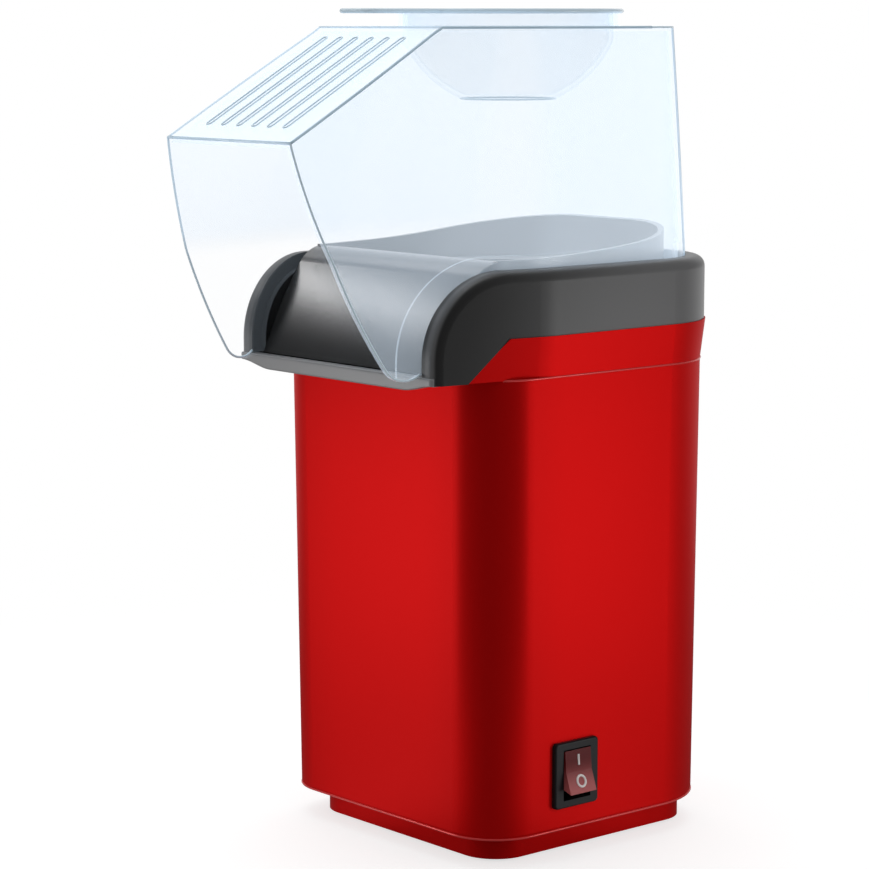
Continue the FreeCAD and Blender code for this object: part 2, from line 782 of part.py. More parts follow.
def make_collar():
    """Dark ring and spout cheeks with a rounded edge, a seat for the hood and the apron floor."""
    block = common("collar_block", prism("collar_prism", collar_plan(0), Z_SEAM, Z_COLLAR + EDGE_ROOM),
                   side_prism("collar_arch", arch_side(0, Z_SEAM), FAR))
    front = -dim("cheek_reach").value

    def on_rim(edge):
        """Outer edges of the top, the arch and the front, not the seam nor the joints between faces."""
        span = edge.BoundBox
        upright = span.XLength + span.YLength < 0.01 and span.YMin > front + 0.01
        across = span.YLength + span.ZLength < 0.01 and span.YMax < 0
        return span.ZMax > Z_SEAM.value + 0.01 and not upright and not across

    soft = rounded("collar_soft", block, dim("collar_round"), on_rim)
    inner = prism("seat_prism", collar_plan(dim("collar_lip"), FAR / 2), Z_SEAM, Z_COLLAR + FAR)
    under = arch_side(dim("seat_depth"), Z_SEAM - EDGE_ROOM)
    seat = cut("collar_seat", inner, side_prism("seat_arch", under, FAR))
    well = prism("collar_well", collar_plan(SEAT_INSET, FAR / 2), Z_SEAM + dim("apron_floor"), Z_COLLAR + FAR)
    rear = side_prism("collar_rear", band_side(0, Z_BAND), FAR)
    skirt = prism("collar_skirt", collar_plan(dim("collar_lip")), Z_SKIRT, Z_BAND)
    below = cut("collar_below", rear, skirt)
    ring = cut("collar_ring", soft, seat, well, below)
    places = collar_screw_places()
    start = Z_SEAM + dim("wall")
    bosses = [cylinder(f"collar_boss_{index}", dim("collar_boss"), Z_BAND - start, x, y, start)
              for index, x, y in places]
    pilots = pilot_holes("collar_pilot", places, Z_BAND - start, start - EDGE_ROOM,
                         dim("screw_radius") + dim("pilot_room"))
    pilots += pilot_holes("skirt_pilot", liner_screw_places(), dim("skirt_depth"), Z_SKIRT - EDGE_ROOM,
                          dim("small_screw_radius") + dim("pilot_room"))
    keep("collar", cut("collar", fuse("collar_with_bosses", ring, *bosses), *pilots))
    deep = dim("collar_boss_depth")
    length = deep + dim("wall") + (Z_BAND - start) * 0.7
    screws = [screw(f"collar_screw_{index}", length, x, y, Z_SEAM - deep) for index, x, y in places]
    keep("collar_screws", group("collar_screws", screws))


def make_liner():
    """Inner bowl: rim wall, floor with the chamber's mouth, sill, convex chute and fixing flange."""
    thick = dim("liner_wall")
    sill = dim("crest_reach") - 4
    radius = dim("crest_radius")
    crest = Z_COLLAR + dim("crest_rise")
    angle = dim("crest_angle")
    lip = Z_SEAM + dim("apron_floor")
    chute = dim("chute_radius")

    def crest_point(size):
        """Where the crest's round ends and the long chute begins, for a radius about the crest's centre."""
        return -(dim("crest_reach") + size * sine(angle)), crest - radius + size * cosine(angle)

    sill_top = crest - radius + root(radius * radius - 16)
    inner = radius - thick
    under_top = crest - radius + root(inner * inner - (4 - thick) * (4 - thick))
    skin = Outline(FAR, Z_WELL).line(-sill, Z_WELL).line(-sill, sill_top)
    skin.arc(*crest_point(radius), radius).arc(-dim("chute_reach"), lip, chute)
    skin.line(thick * 1.1 - dim("chute_reach"), lip)
    skin.arc(*crest_point(inner), chute - thick, clockwise=True)
    skin.arc(-(sill + thick), under_top, inner, clockwise=True)
    skin.line(-(sill + thick), Z_MOUTH).line(FAR, Z_MOUTH).close()
    sheet_solid = common("liner_sheet", side_prism("liner_skin", skin, FAR),
                         prism("liner_prism", collar_plan(LINER_INSET, FAR / 2), Z_SEAM, Z_COLLAR + FAR))
    mouth = cylinder("liner_mouth", CHAMBER_RADIUS, FAR, 0, 0, Z_MOUTH - thick)
    ring = cut("liner_ring", prism("ring_outer", bowl_plan(0), Z_SKIRT - thick, Z_COLLAR + FAR),
               prism("ring_inner", bowl_plan(thick, FAR / 2), Z_SEAM, Z_COLLAR + 2 * FAR))
    front = -(dim("crest_reach") + thick)
    rim = Outline(front, Z_SEAM).line(dim("collar_half"), Z_SEAM)
    rim.line(dim("collar_half"), Z_COLLAR + dim("rim_back"))
    rim.arc(front, Z_COLLAR + dim("rim_front"), dim("rim_sweep"), clockwise=True).close()
    wall_ring = common("liner_wall_ring", ring, side_prism("liner_rim", rim, FAR))
    wide = collar_plan(dim("collar_lip") + dim("liner_gap"))
    flange_ring = cut("liner_flange_ring", prism("flange_outer", wide, Z_SKIRT - thick, Z_SKIRT),
                      prism("flange_inner", bowl_plan(thick, FAR / 2), Z_SEAM, Z_BAND))
    flange_reach = box("flange_reach", -FAR, FAR, -dim("cheek_start"), FAR, Z_SEAM, Z_BAND)
    flange = common("liner_flange", flange_ring, flange_reach)
    room = dim("small_screw_radius") + dim("pilot_room")
    holes = pilot_holes("liner_hole", liner_screw_places(), 4 * thick, Z_SKIRT - 2 * thick, room)
    holes += pilot_holes("mouth_hole", chamber_screw_places(), thick, Z_MOUTH - thick * 0.15, room)
    holes += pilot_holes("boss_room", collar_screw_places(), Z_BAND - Z_SEAM, Z_SEAM,
                         dim("collar_boss") + dim("liner_gap"))
    keep("chute_liner", cut("chute_liner", fuse("liner_all", sheet_solid, wall_ring, flange), mouth, *holes))
    length = thick + dim("skirt_depth") * 0.6
    screws = [screw(f"liner_screw_{index}", length, x, y, Z_SKIRT - thick, small=True)
              for index, x, y in liner_screw_places()]
    keep("liner_screws", group("liner_screws", screws))


def liner_screw_places():
    """Screws up through the liner's flange: right, left and rear."""
    reach = dim("collar_half") - (dim("collar_lip") + SEAT_INSET) / 2
    return [(0, reach, as_size(0)), (1, -reach, as_size(0)), (2, as_size(0), reach)]


def hood_side():
    """Side view of the hood: arch seat, tongue, curved front edge, sloped roof and flat roof."""
    reach, radius = dim("cheek_reach"), dim("arch_radius")
    inset = dim("seat_depth") - dim("hood_gap")
    floor = Z_SEAM + dim("apron_floor") + dim("hood_gap")
    outline = Outline(FAR, Z_COLLAR - inset).line(FAR, Z_ROOF).line(-dim("slope_start"), Z_ROOF)
    outline.line(-dim("slope_reach"), Z_ROOF - dim("slope_drop"))
    outline.arc(-dim("tongue_front"), Z_SEAM + dim("tongue_rise"), dim("front_edge_radius"))
    outline.arc(-(reach + dim("hood_gap")), floor, dim("tongue_radius"))
    outline.line(inset - reach, floor).line(inset - reach, Z_COLLAR - radius)
    outline.arc(radius - reach, Z_COLLAR - inset, radius - inset, clockwise=True)
    return outline.close()


def hood_space(above_rim):
    """Side view of the room under the hood's roof: down to the table, or only above the thick rim."""
    wall = dim("hood_wall")
    slope = dim("slope_drop") / (dim("slope_reach") - dim("slope_start"))
    lean = root(slope * slope + 1)
    bend_y = -dim("slope_start") + wall * (lean - 1) / slope
    far_z = Z_ROOF - wall * lean - slope * (FAR - dim("slope_start"))
    if not above_rim:
        outline = Outline(FAR, 0).line(FAR, Z_ROOF - wall).line(bend_y, Z_ROOF - wall)
        return outline.line(-FAR, far_z).line(-FAR, 0).close()
    radius = dim("arch_radius") + dim("rim_top")
    front = dim("cheek_reach") + dim("rim_forward")
    top = Z_COLLAR + dim("rim_top")
    outline = Outline(FAR, top).line(FAR, Z_ROOF - wall).line(bend_y, Z_ROOF - wall).line(-FAR, far_z)
    outline.line(-FAR, 0).line(-front, 0).line(-front, top - radius)
    return outline.arc(radius - front, top, radius, clockwise=True).close()


def hood_loft(name, inset):
    """Hood's body: upright where it stands in the collar, then leaning in to the roof."""
    inset = as_size(inset)
    return loft(name, (hood_plan(HOOD_INSET + inset), Z_SEAM - EDGE_ROOM),
                (hood_plan(HOOD_INSET + inset), Z_COLLAR + dim("rim_top")), (roof_plan(inset), Z_ROOF))


def make_hood():
    """Clear shell with an open front, vent slots in the slope and a ring for the measuring cup."""
    wall = dim("hood_wall")
    outer = common("hood_outer", hood_loft("hood_outer_loft", 0),
                   side_prism("hood_profile", hood_side(), FAR))
    room = common("hood_room", hood_loft("hood_thick_loft", wall + dim("hood_rim")),
                  side_prism("hood_room_side", hood_space(False), FAR))
    upper_room = common("hood_upper_room", hood_loft("hood_thin_loft", wall),
                        side_prism("hood_upper_side", hood_space(True), FAR))
    ring = cylinder("cup_ring", RING_RADIUS, dim("cup_ring_height") + wall / 2, 0, dim("cup_back"),
                    Z_ROOF - wall / 2)
    hole = cylinder("cup_hole", RING_RADIUS - dim("cup_ring_wall"), FAR, 0, dim("cup_back"),
                    Z_ROOF - 2 * wall)
    slots = []
    half = dim("slot_width") / 2
    start = dim("slope_start") + dim("slot_start_margin")
    stop = dim("slope_reach") - dim("slot_end_margin")
    middle = -(start + stop) / 2
    length = (stop - start) / 2
    for index in range(VENT_SLOTS):
        x = dim("slot_pitch") * (index - (VENT_SLOTS - 1) / 2)
        outline = rounded_rectangle(half, length, half * 0.9, x, middle)
        slots.append(prism(f"vent_{index}", outline, Z_ROOF - dim("slope_drop") - 10, Z_ROOF + EDGE_ROOM))
    shell = cut("hood_shell", outer, room, upper_room)
    solid = cut("hood", fuse("hood_with_ring", shell, ring), hole, group("vents", slots))
    keep("hood", solid)


def make_cup():
    """Round measuring cup with a flange that hangs on the hood's ring and a flat handle."""
    outer, wall = dim("cup_radius"), dim("cup_wall")
    deep, straight = dim("cup_depth"), dim("cup_straight")
    base = dim("cup_base_radius")
    flange = RING_RADIUS + dim("cup_flange")
    bulge = dim("cup_round")
    profile = Outline(0, -deep).line(base, -deep).arc(outer, -straight, bulge).line(outer, 0)
    profile.line(flange, 0).line(flange, wall).line(outer - wall, wall).line(outer - wall, -straight)
    profile.arc(base - wall * 0.5, wall - deep, bulge - wall, clockwise=True).line(0, wall - deep).close()
    bowl = turned("cup_bowl", profile, 0, dim("cup_back"), Z_RING)
    half, corner = dim("tab_half"), dim("tab_corner")
    reach = dim("tab_reach")
    start = dim("cup_back") - outer - wall
    tab_outline = Outline(-half, start).line(-half, corner - reach).arc(corner - half, -reach, corner)
    tab_outline.line(half - corner, -reach).arc(half, corner - reach, corner).line(half, start).close()
    tab = prism("cup_tab", tab_outline, Z_RING, Z_RING + wall)
    keep("measuring_cup", fuse("measuring_cup", bowl, tab))


def make_chamber():
    """Spun pot with louvres near its floor, the jacket round it and the screws that clamp both flanges."""
    skin, radius = dim("sheet"), CHAMBER_RADIUS
    bend = dim("louvre_height")
    body = make_body("popping_chamber")
    profile = Outline(0, Z_CHAMBER + bend / 2).line(radius / 2, Z_CHAMBER)
    profile.line(radius - 4, Z_CHAMBER).arc(radius + skin, Z_CHAMBER + 4 + skin, 4 + skin)
    profile.line(radius + skin, Z_MOUTH - skin).line(FLANGE_RADIUS, Z_MOUTH - skin)
    profile.line(FLANGE_RADIUS, Z_MOUTH).line(radius, Z_MOUTH).line(radius, Z_CHAMBER + 4 + skin)
    profile.arc(radius - 4, Z_CHAMBER + skin, 4, clockwise=True)
    profile.line(radius / 2, Z_CHAMBER + skin).line(0, Z_CHAMBER + bend / 2 + skin).close()
    revolve(body, "pot", profile)
    louvre = rectangle(-dim("louvre_width") / 2, dim("louvre_width") / 2, Z_CHAMBER + 7,
                       Z_CHAMBER + 7 + bend)
    opening = pocket(body, "louvre", "XZ_Plane", louvre, radius * 2, 0, False)
    pattern = body.newObject("PartDesign::PolarPattern", "louvres")
    pattern.Originals = [opening]
    pattern.Axis = (doc.getObject("pot_sketch"), ["V_Axis"])
    pattern.Angle = 360
    pattern.Occurrences = LOUVRES
    body.Tip = pattern
    doc.recompute()
    room = dim("small_screw_radius") + dim("pilot_room")
    places = chamber_screw_places()
    holes = pilot_holes("chamber_hole", places, 4 * skin, Z_MOUTH - 2 * skin, room)
    keep("popping_chamber", cut("chamber_drilled", body, *holes))

    low = Z_JACKET
    top = Z_MOUTH - skin
    jacket = Outline(JACKET_RADIUS, low).line(FAN_RADIUS, low).line(FAN_RADIUS, low + skin)
    jacket.line(JACKET_RADIUS + skin, low + skin).line(JACKET_RADIUS + skin, top - skin)
    jacket.line(FLANGE_RADIUS, top - skin).line(FLANGE_RADIUS, top).line(JACKET_RADIUS, top).close()
    holes = pilot_holes("jacket_hole", places, 4 * skin, top - 2 * skin, room)
    holes += pilot_holes("jacket_low_hole", fan_screw_places(), 4 * skin, low - skin, room)
    keep("air_jacket", cut("jacket", turned("jacket_sheet", jacket), *holes))
    length = 2 * skin + dim("liner_wall") * 0.8
    screws = [screw(f"chamber_screw_{index}", length, x, y, top - skin, small=True)
              for index, x, y in places]
    keep("chamber_screws", group("chamber_screws", screws))


def chamber_screw_places():
    """Screws through both flanges, outside the jacket's wall."""
    return round_places(JACKET_RADIUS + dim("sheet") + dim("screw_head"))


def fan_screw_places():
    """Screws that hang the fan housing under the jacket."""
    return round_places((JACKET_RADIUS + dim("sheet") + FAN_RADIUS) / 2)


def round_places(radius):
    """Three places on a circle about the body axis."""
    turns = [(index, as_size(index * 360 / 3)) for index in range(3)]
    return [(index, radius * cosine(turn), radius * sine(turn)) for index, turn in turns]


def make_heater():
    """Crossed insulating plates that carry a spiral ribbon, with a thermostat and a fuse on the jacket."""
    thick = dim("mica_thickness") / 2
    top = Z_JACKET + dim("mica_height")
    cross = fuse("mica_cross", box("mica_x", -FAR, FAR, -thick, thick, Z_JACKET, top),
                 box("mica_y", -thick, thick, -FAR, FAR, Z_JACKET, top))
    plates = common("mica_plates", cross, cylinder("mica_room", JACKET_RADIUS, FAR, 0, 0, Z_SEAM / 2))
    spine = doc.addObject("Part::Spiral", "coil_path")
    spine.Rotations = COIL_TURNS
    pitch = (JACKET_RADIUS - dim("coil_room") - dim("coil_inner")) / COIL_TURNS
    bind(spine, Growth=pitch, Radius=dim("coil_inner"))
    half = dim("coil_ribbon") / 2
    section = rectangle(dim("coil_inner") - half, dim("coil_inner") + half, 0, dim("coil_height"))
    ribbon = doc.addObject("Part::Sweep", "coil_ribbon_sweep")
    ribbon.Sections = [free_sketch("coil_section", "XZ", section)]
    doc.recompute()
    ribbon.Spine = (spine, [f"Edge{index + 1}" for index in range(len(spine.Shape.Edges))])
    ribbon.Solid = True
    ribbon.Frenet = True
    move(ribbon, 0, 0, top - dim("coil_height") * 0.75)
    keep("heater_frame", cut("heater_frame", plates, ribbon))
    keep("heater_coil", group("heater_coil", [ribbon]))

    wall = JACKET_RADIUS + dim("sheet")
    level = (Z_JACKET + Z_MOUTH) / 2
    jacket = cylinder("jacket_form", wall, FAR, 0, 0, Z_SEAM / 2)
    disc = cross_cylinder("thermostat_disc", dim("thermostat_radius"), dim("thermostat_height") + 3, "X",
                          -(wall + dim("thermostat_height")), 0, level)
    keep("thermostat", cut("thermostat", disc, jacket))
    fuse_rod = cylinder("fuse_rod", dim("fuse_radius"), dim("fuse_length"), 0,
                        wall + dim("fuse_radius") * 0.8, level - dim("fuse_length") / 2)
    keep("thermal_fuse", cut("thermal_fuse", fuse_rod, jacket))


def make_fan():
    """Fan housing with a slotted floor, hung under the jacket, and the bladed wheel inside it."""
    top, low, floor = Z_JACKET, Z_FAN, dim("fan_floor")
    inner = FAN_INSIDE
    outer = inner + dim("fan_wall")
    body = make_body("fan_housing_body")
    profile = Outline(dim("bush_radius") + 1, low).line(outer, low).line(outer, top - floor)
    profile.line(FAN_RADIUS, top - floor).line(FAN_RADIUS, top).line(inner, top).line(inner, low + floor)
    profile.line(dim("bush_radius") + 1, low + floor).close()
    revolve(body, "fan_cup", profile)
    slot = rectangle(-dim("hub_radius") / 2, dim("hub_radius") / 2, dim("motor_radius") + 2, WHEEL_RADIUS)
    opening = pocket(body, "intake_slot", "XY_Plane", slot, floor * 2, low + floor)
    repeat_round(body, "intake_slots", opening, INTAKE_SLOTS)
    room = dim("small_screw_radius") + dim("pilot_room")
    holes = pilot_holes("fan_hole", fan_screw_places(), floor * 2, top - floor * 1.5, room)
    holes += pilot_holes("motor_hole", motor_screw_places(), floor * 2, low - floor / 2, room)
    keep("fan_housing", cut("fan_housing", body, *holes))
    skin = dim("sheet")
    screws = [screw(f"fan_screw_{index}", skin + floor, x, y, top + skin, upwards=False, small=True)
              for index, x, y in fan_screw_places()]
    keep("fan_housing_screws", group("fan_housing_screws", screws))

    start = low + floor + dim("fan_clearance")
    disc = start + dim("blade_height")
    wheel = make_body("fan_impeller")
    bore = dim("shaft_radius")
    profile = Outline(bore, start).line(dim("hub_radius"), start).line(dim("hub_radius"), disc)
    profile.line(WHEEL_RADIUS, disc).line(WHEEL_RADIUS, disc + dim("fan_disc"))
    profile.line(bore, disc + dim("fan_disc")).close()
    revolve(wheel, "wheel", profile)
    half = dim("blade_thickness") / 2
    blade = rectangle(dim("blade_start"), WHEEL_RADIUS - 1, -half, half)
    vane = pad(wheel, "blade", "XY_Plane", blade, dim("blade_height") + dim("fan_disc") / 2, start)
    repeat_round(wheel, "blades", vane, FAN_BLADES)
    keep("fan_impeller", wheel)


def motor_screw_places():
    spread = dim("motor_screw_spread")
    return [(0, spread, as_size(0)), (1, -spread, as_size(0))]


def make_motor():
    """Small brushed motor under the fan housing, with the rectifier that feeds it."""
    radius, shell, cap = dim("motor_radius"), dim("motor_shell"), dim("motor_cap")
    low, top = Z_MOTOR, Z_FAN
    bush = dim("bush_radius")
    room = dim("small_screw_radius") + dim("pilot_room")
    can = Outline(radius - shell, low).line(radius, low).line(radius, top).line(bush, top)
    can.line(bush, top - 2 * shell).line(radius - shell, top - 2 * shell).close()
    holes = pilot_holes("can_hole", motor_screw_places(), 6 * shell, top - 3 * shell, room)
    keep("motor_can", cut("motor_can", turned("can_shell", can), *holes))
    screws = [screw(f"motor_screw_{index}", dim("fan_floor") + 2 * shell, x, y, top + dim("fan_floor"),
                    upwards=False, small=True) for index, x, y in motor_screw_places()]
    keep("motor_screws", group("motor_screws", screws))

    outer = radius - shell
    middle = (low + top) / 2
    reach = dim("armature_length") / 2
    section = rectangle(outer - dim("magnet_thickness"), outer, middle - reach, middle + reach)
    ring = turned("magnet_ring", section)
    gap = box("magnet_gap", -FAR, FAR, -radius / 3, radius / 3, low, top)
    keep("motor_magnets", cut("motor_magnets", ring, gap))

    plug = Outline(bush, low - cap).line(radius, low - cap).line(radius, low).line(outer, low)
    plug.line(outer, low + shell).line(bush, low + shell).close()
    keep("motor_end_cap", turned("end_cap", plug))

    bore = dim("shaft_radius") + dim("shaft_clearance")
    length = dim("bush_length")
    lower = turned("bush_low", rectangle(bore, bush, low - cap, low - cap + length))
    upper = turned("bush_high", rectangle(bore, bush, top + cap - length, top + cap))
    keep("motor_bushes", group("motor_bushes", [lower, upper]))

    shaft_top = top + dim("fan_floor") + dim("fan_clearance") + dim("blade_height") + 2 * dim("fan_disc")
    start = low - cap / 2
    keep("motor_shaft", cylinder("motor_shaft", dim("shaft_radius"), shaft_top - start, 0, 0, start))

    core = make_body("armature")
    size = dim("armature_radius")
    profile = Outline(dim("shaft_radius"), middle - reach - 3).line(size * 0.3, middle - reach - 3)
    profile.line(size * 0.3, middle - reach).line(size * 0.45, middle - reach)
    profile.line(size * 0.45, middle + reach).line(dim("shaft_radius"), middle + reach).close()
    revolve(core, "armature_core", profile)
    tip = size * cosine(dim("pole_half_angle"))
    spread = size * sine(dim("pole_half_angle"))
    pole = Outline(size * 0.35, -size * 0.14).line(size * 0.78, -size * 0.14).line(tip, -spread)
    pole.arc(tip, spread, size).line(size * 0.78, size * 0.14).line(size * 0.35, size * 0.14).close()
    arm = pad(core, "pole", "XY_Plane", pole, 2 * reach, middle - reach)
    repeat_round(core, "poles", arm, ARMATURE_POLES)
    keep("armature", core)

    half, thick = dim("board_half"), dim("board_thickness")
    under = low - cap - thick
    plate = box("board_plate", -half, half, -half, half, under, low - cap)
    keep("rectifier_board", group("rectifier_board", [plate]))
    diodes = []
    for index, (side_x, side_y) in enumerate(QUARTER_SIGNS):
        x = side_x * half / 2 - dim("diode_length") / 2
        diodes.append(cross_cylinder(f"diode_{index}", dim("diode_radius"), dim("diode_length"), "X", x,
                                     side_y * half / 2, under - dim("diode_radius")))
    keep("rectifier_diodes", group("rectifier_diodes", diodes))


def make_switch():
    """Rocker switch in the side wall, drawn with its upper end pressed, and the blades behind it."""
    face = BODY_BOTTOM + BODY_LEAN * (dim("switch_height") + dim("bezel_tall") / 2)
    centre = -dim("switch_forward")
    tilt, room = dim("rocker_tilt"), dim("rocker_room")
    end = dim("rocker_face") + dim("rocker_dish")
    half = dim("rocker_half_tall")
    pivot = face + dim("bezel_thickness") + dim("rocker_proud") - end * cosine(tilt) + half * sine(tilt)
    wide, tall = dim("bezel_width") / 2, dim("bezel_tall") / 2
    case_wide, case_tall = dim("switch_case_width") / 2, dim("switch_case_tall") / 2
    bezel = box("bezel", face, face + dim("bezel_thickness"), centre - wide, centre + wide,
                Z_SWITCH - tall, Z_SWITCH + tall)

    def front_edge(edge):
        return edge.BoundBox.XMin > face.value + 1 and edge.BoundBox.XLength < 0.01

    def corner_edge(edge):
        return edge.BoundBox.XLength > 1

    soft = rounded("bezel_corners", bezel, dim("edge_round"), corner_edge)
    softer = rounded("bezel_soft", soft, dim("edge_round") / 2, front_edge)
    back = face - dim("switch_case_depth")
    case = box("switch_case", back, face, centre - case_wide, centre + case_wide,
               Z_SWITCH - case_tall, Z_SWITCH + case_tall)
    room_wide = dim("rocker_width") / 2 + room
    room_tall = end * sine(tilt) + half * cosine(tilt) + room
    hollow = box("rocker_space", pivot - end, face + 2 * end, centre - room_wide, centre + room_wide,
                 Z_SWITCH - room_tall, Z_SWITCH + room_tall)
    bearing = cross_cylinder("rocker_bearing", dim("trunnion_radius") + dim("trunnion_clearance"),
                             2 * case_wide - 1, "Y", pivot, centre - case_wide + 0.5, Z_SWITCH)
    keep("switch_body", cut("switch_body", fuse("switch_shell", softer, case), hollow, bearing))

    corners = ((end, half), (dim("rocker_face"), 0), (end, -half), (-half * 0.3, -half * 0.4),
               (-half * 0.3, half * 0.4))
    spots = []
    for out, up in corners:
        out, up = as_size(out), as_size(up)
        x = pivot + out * cosine(tilt) - up * sine(tilt)
        z = Z_SWITCH + out * sine(tilt) + up * cosine(tilt)
        spots.append((x, z))
    outline = Outline(*spots[0])
    for x, z in spots[1:]:
        outline.line(x, z)
    outline.close()
    lever = doc.addObject("Part::Extrusion", "rocker_lever")
    lever.Base = free_sketch("rocker_side", "XZ", outline, centre)
    lever.DirMode = "Normal"
    lever.Solid = True
    lever.Symmetric = True
    bind(lever, LengthFwd=dim("rocker_width"))
    length = dim("rocker_width") + 2 * (room + (case_wide - room_wide) / 2)
    pin = cross_cylinder("rocker_pin", dim("trunnion_radius"), length, "Y", pivot, centre - length / 2,
                         Z_SWITCH)
    keep("switch_rocker", fuse("switch_rocker", lever, pin))

    blades = []
    side = dim("blade_width") / 2
    for index in range(3):
        z = Z_SWITCH + (index - 1) * case_tall * 0.6
        blades.append(box(f"terminal_{index}", back - dim("blade_reach"), back, centre - side, centre + side,
                          z - 0.4, z + 0.4))
    keep("switch_terminals", group("switch_terminals", blades))


def make_grommet():
    """Strain-relief grommet in the rear wall, for the mains lead."""
    face = BODY_BOTTOM + BODY_LEAN * (dim("grommet_height") + dim("grommet_flange"))
    z = Z_BODY + dim("grommet_height")
    neck, flange, wall = dim("grommet_radius"), dim("grommet_flange"), dim("wall")
    outside = cross_cylinder("grommet_outside", flange, wall * 0.8, "Y", 0, face, z)
    through = cross_cylinder("grommet_neck", neck - 0.05, wall * 3.2, "Y", 0, face - wall * 2.4, z)
    inside = cross_cylinder("grommet_inside", neck + 1.4, wall, "Y", 0, face - wall * 2.4, z)
    bore = cross_cylinder("grommet_bore", dim("grommet_hole"), FAR, "Y", 0, face / 2, z)
    keep("cord_grommet", cut("cord_grommet", fuse("grommet_solid", outside, through, inside), bore))


BUILDERS = (make_base, make_housing, make_collar, make_liner, make_hood, make_cup, make_chamber,
            make_heater, make_fan, make_motor, make_switch, make_grommet)


def write_parts():
    """Checks every object and every sub-part, then writes one file for each sub-part."""
    doc.recompute()
    failed = [item.Name for item in doc.Objects if "Invalid" in item.State or "Error" in item.State]
    if failed:
        raise RuntimeError(f"failed features: {failed}")
    for label, item in parts.items():
        if item.Shape.isNull() or not item.Shape.isValid():
            raise RuntimeError(f"bad shape: {label}")
    os.makedirs("parts", exist_ok=True)
    for label, item in parts.items():
        item.Shape.exportStep(f"parts/{label}.step")


for build in BUILDERS:
    build()
write_parts()
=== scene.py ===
import bpy
import math
import numpy as np
from mathutils import Matrix, Vector


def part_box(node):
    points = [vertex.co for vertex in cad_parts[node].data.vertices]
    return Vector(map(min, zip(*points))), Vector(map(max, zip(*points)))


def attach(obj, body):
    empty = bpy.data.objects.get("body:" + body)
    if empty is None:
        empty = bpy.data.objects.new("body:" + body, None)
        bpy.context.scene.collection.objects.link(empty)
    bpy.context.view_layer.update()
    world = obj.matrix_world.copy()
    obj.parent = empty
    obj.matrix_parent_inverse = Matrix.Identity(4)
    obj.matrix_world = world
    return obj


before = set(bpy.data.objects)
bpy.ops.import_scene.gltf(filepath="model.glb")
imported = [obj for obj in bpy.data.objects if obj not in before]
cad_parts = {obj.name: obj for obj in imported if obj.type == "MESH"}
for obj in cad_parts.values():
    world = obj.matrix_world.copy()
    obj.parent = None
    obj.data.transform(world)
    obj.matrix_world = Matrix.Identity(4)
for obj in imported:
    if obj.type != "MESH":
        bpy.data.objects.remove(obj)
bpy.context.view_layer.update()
MM = 0.001

# The plinth's underside and the body's axis, which every measure below starts from.
PLINTH_LOW, PLINTH_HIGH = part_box("base_cover")
GROUND = PLINTH_LOW.z
AXIS_Y = (PLINTH_LOW.y + PLINTH_HIGH.y) / 2
COLLAR_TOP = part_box("collar")[1].z
CUP_LOW, CUP_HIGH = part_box("measuring_cup")

# Millimetres about the axis, with the spout towards minus Y and heights above the table.
BODY_FOOT = 10.8
SEAM = 174.0
CHEEK_START = 29.0
CHEEK_REACH = 80.5
CHEEK_SLANT = 0.1673
ARCH_RADIUS = 30.0

# The hood: (y, z) points of its side view, then the round of its plan and its six slots.
ROOF = 294.2
ROOF_EDGE_START = 30.0
SLOPE_TOP = (-59.3, ROOF)
SLOPE_FRONT = (-126.3, ROOF - 37.8)
TONGUE = (-94.5, SEAM + 6.0)
SEAT = (-80.8, SEAM + 3.3)
FRONT_CURVE = 215.0
TONGUE_CURVE = 9.0
BACK_START = 35.5
BACK_ROUND = 13.0
BACK_CORNER = (0.65, 0.76)
CORNER_FOOT = 207.0
EDGE_INWARD = 0.35
ROOF_STEPS, SLOPE_STEPS, FRONT_STEPS, TONGUE_STEPS = 24, 40, 50, 14
SLOT_COUNT = 6
SLOT_PITCH = 8.6
SLOT_HALF = 1.2
SLOT_TOP = -66.0
SLOT_FOOT = -118.3

# The cup's plan: a round flange with a flat handle.
CUP_CENTRE = 1.3
FLANGE_RADIUS = 41.1
HANDLE_HALF = 9.0
HANDLE_ROUND = 4.0
HANDLE_END = -67.0
CUP_BASE_RADIUS = 17.3

# Radii of the round beads.
BROAD_BEAD = 0.5
TONGUE_BEAD = 0.42
FINE_BEAD = 0.35
SLOT_BEAD = 0.3

# Camera: metres from the axis at the table, a turn about Z and a dip below level.
CAMERA_PLACE = (0.780565, -0.702248, 0.295793)
CAMERA_TURN = math.radians(49.43)
CAMERA_DIP = math.radians(8.28)
CAMERA_LENS = 118.49
CAMERA_SENSOR = 36.0

ACROSS = (1, 0, 0)
ALONG = (0, 1, 0)
UP = (0, 0, 1)
BEHIND = (-math.sin(CAMERA_TURN), math.cos(CAMERA_TURN), 0.0)
MIRROR = np.array((-1, 1, 1))
FULL_TURN = 2 * np.pi
QUARTER = np.pi / 2
WHITE = (1, 1, 1, 1)


def place_camera():
    """Camera at the photograph's viewing angle: a long lens a metre away, level with the roof."""
    data = bpy.data.cameras.new("camera")
    data.sensor_width = CAMERA_SENSOR
    data.lens = CAMERA_LENS
    camera = bpy.data.objects.new("camera", data)
    bpy.context.scene.collection.objects.link(camera)
    turn, dip = CAMERA_TURN, CAMERA_DIP
    forward = Vector((-math.sin(turn) * math.cos(dip), math.cos(turn) * math.cos(dip), -math.sin(dip)))
    right = Vector((math.cos(turn), math.sin(turn), 0))
    up = right.cross(forward)
    camera.matrix_world = Matrix((right, up, -forward)).transposed().to_4x4()
    x, y, z = CAMERA_PLACE
    camera.location = (x, AXIS_Y + y, GROUND + z)
    bpy.context.scene.camera = camera


def group_socket(group, name, kind, into, value=None):
    """One named input or output of a node group."""
    socket = group.interface.new_socket(name=name, in_out="INPUT" if into else "OUTPUT", socket_type=kind)
    if value is not None:
        socket.default_value = value


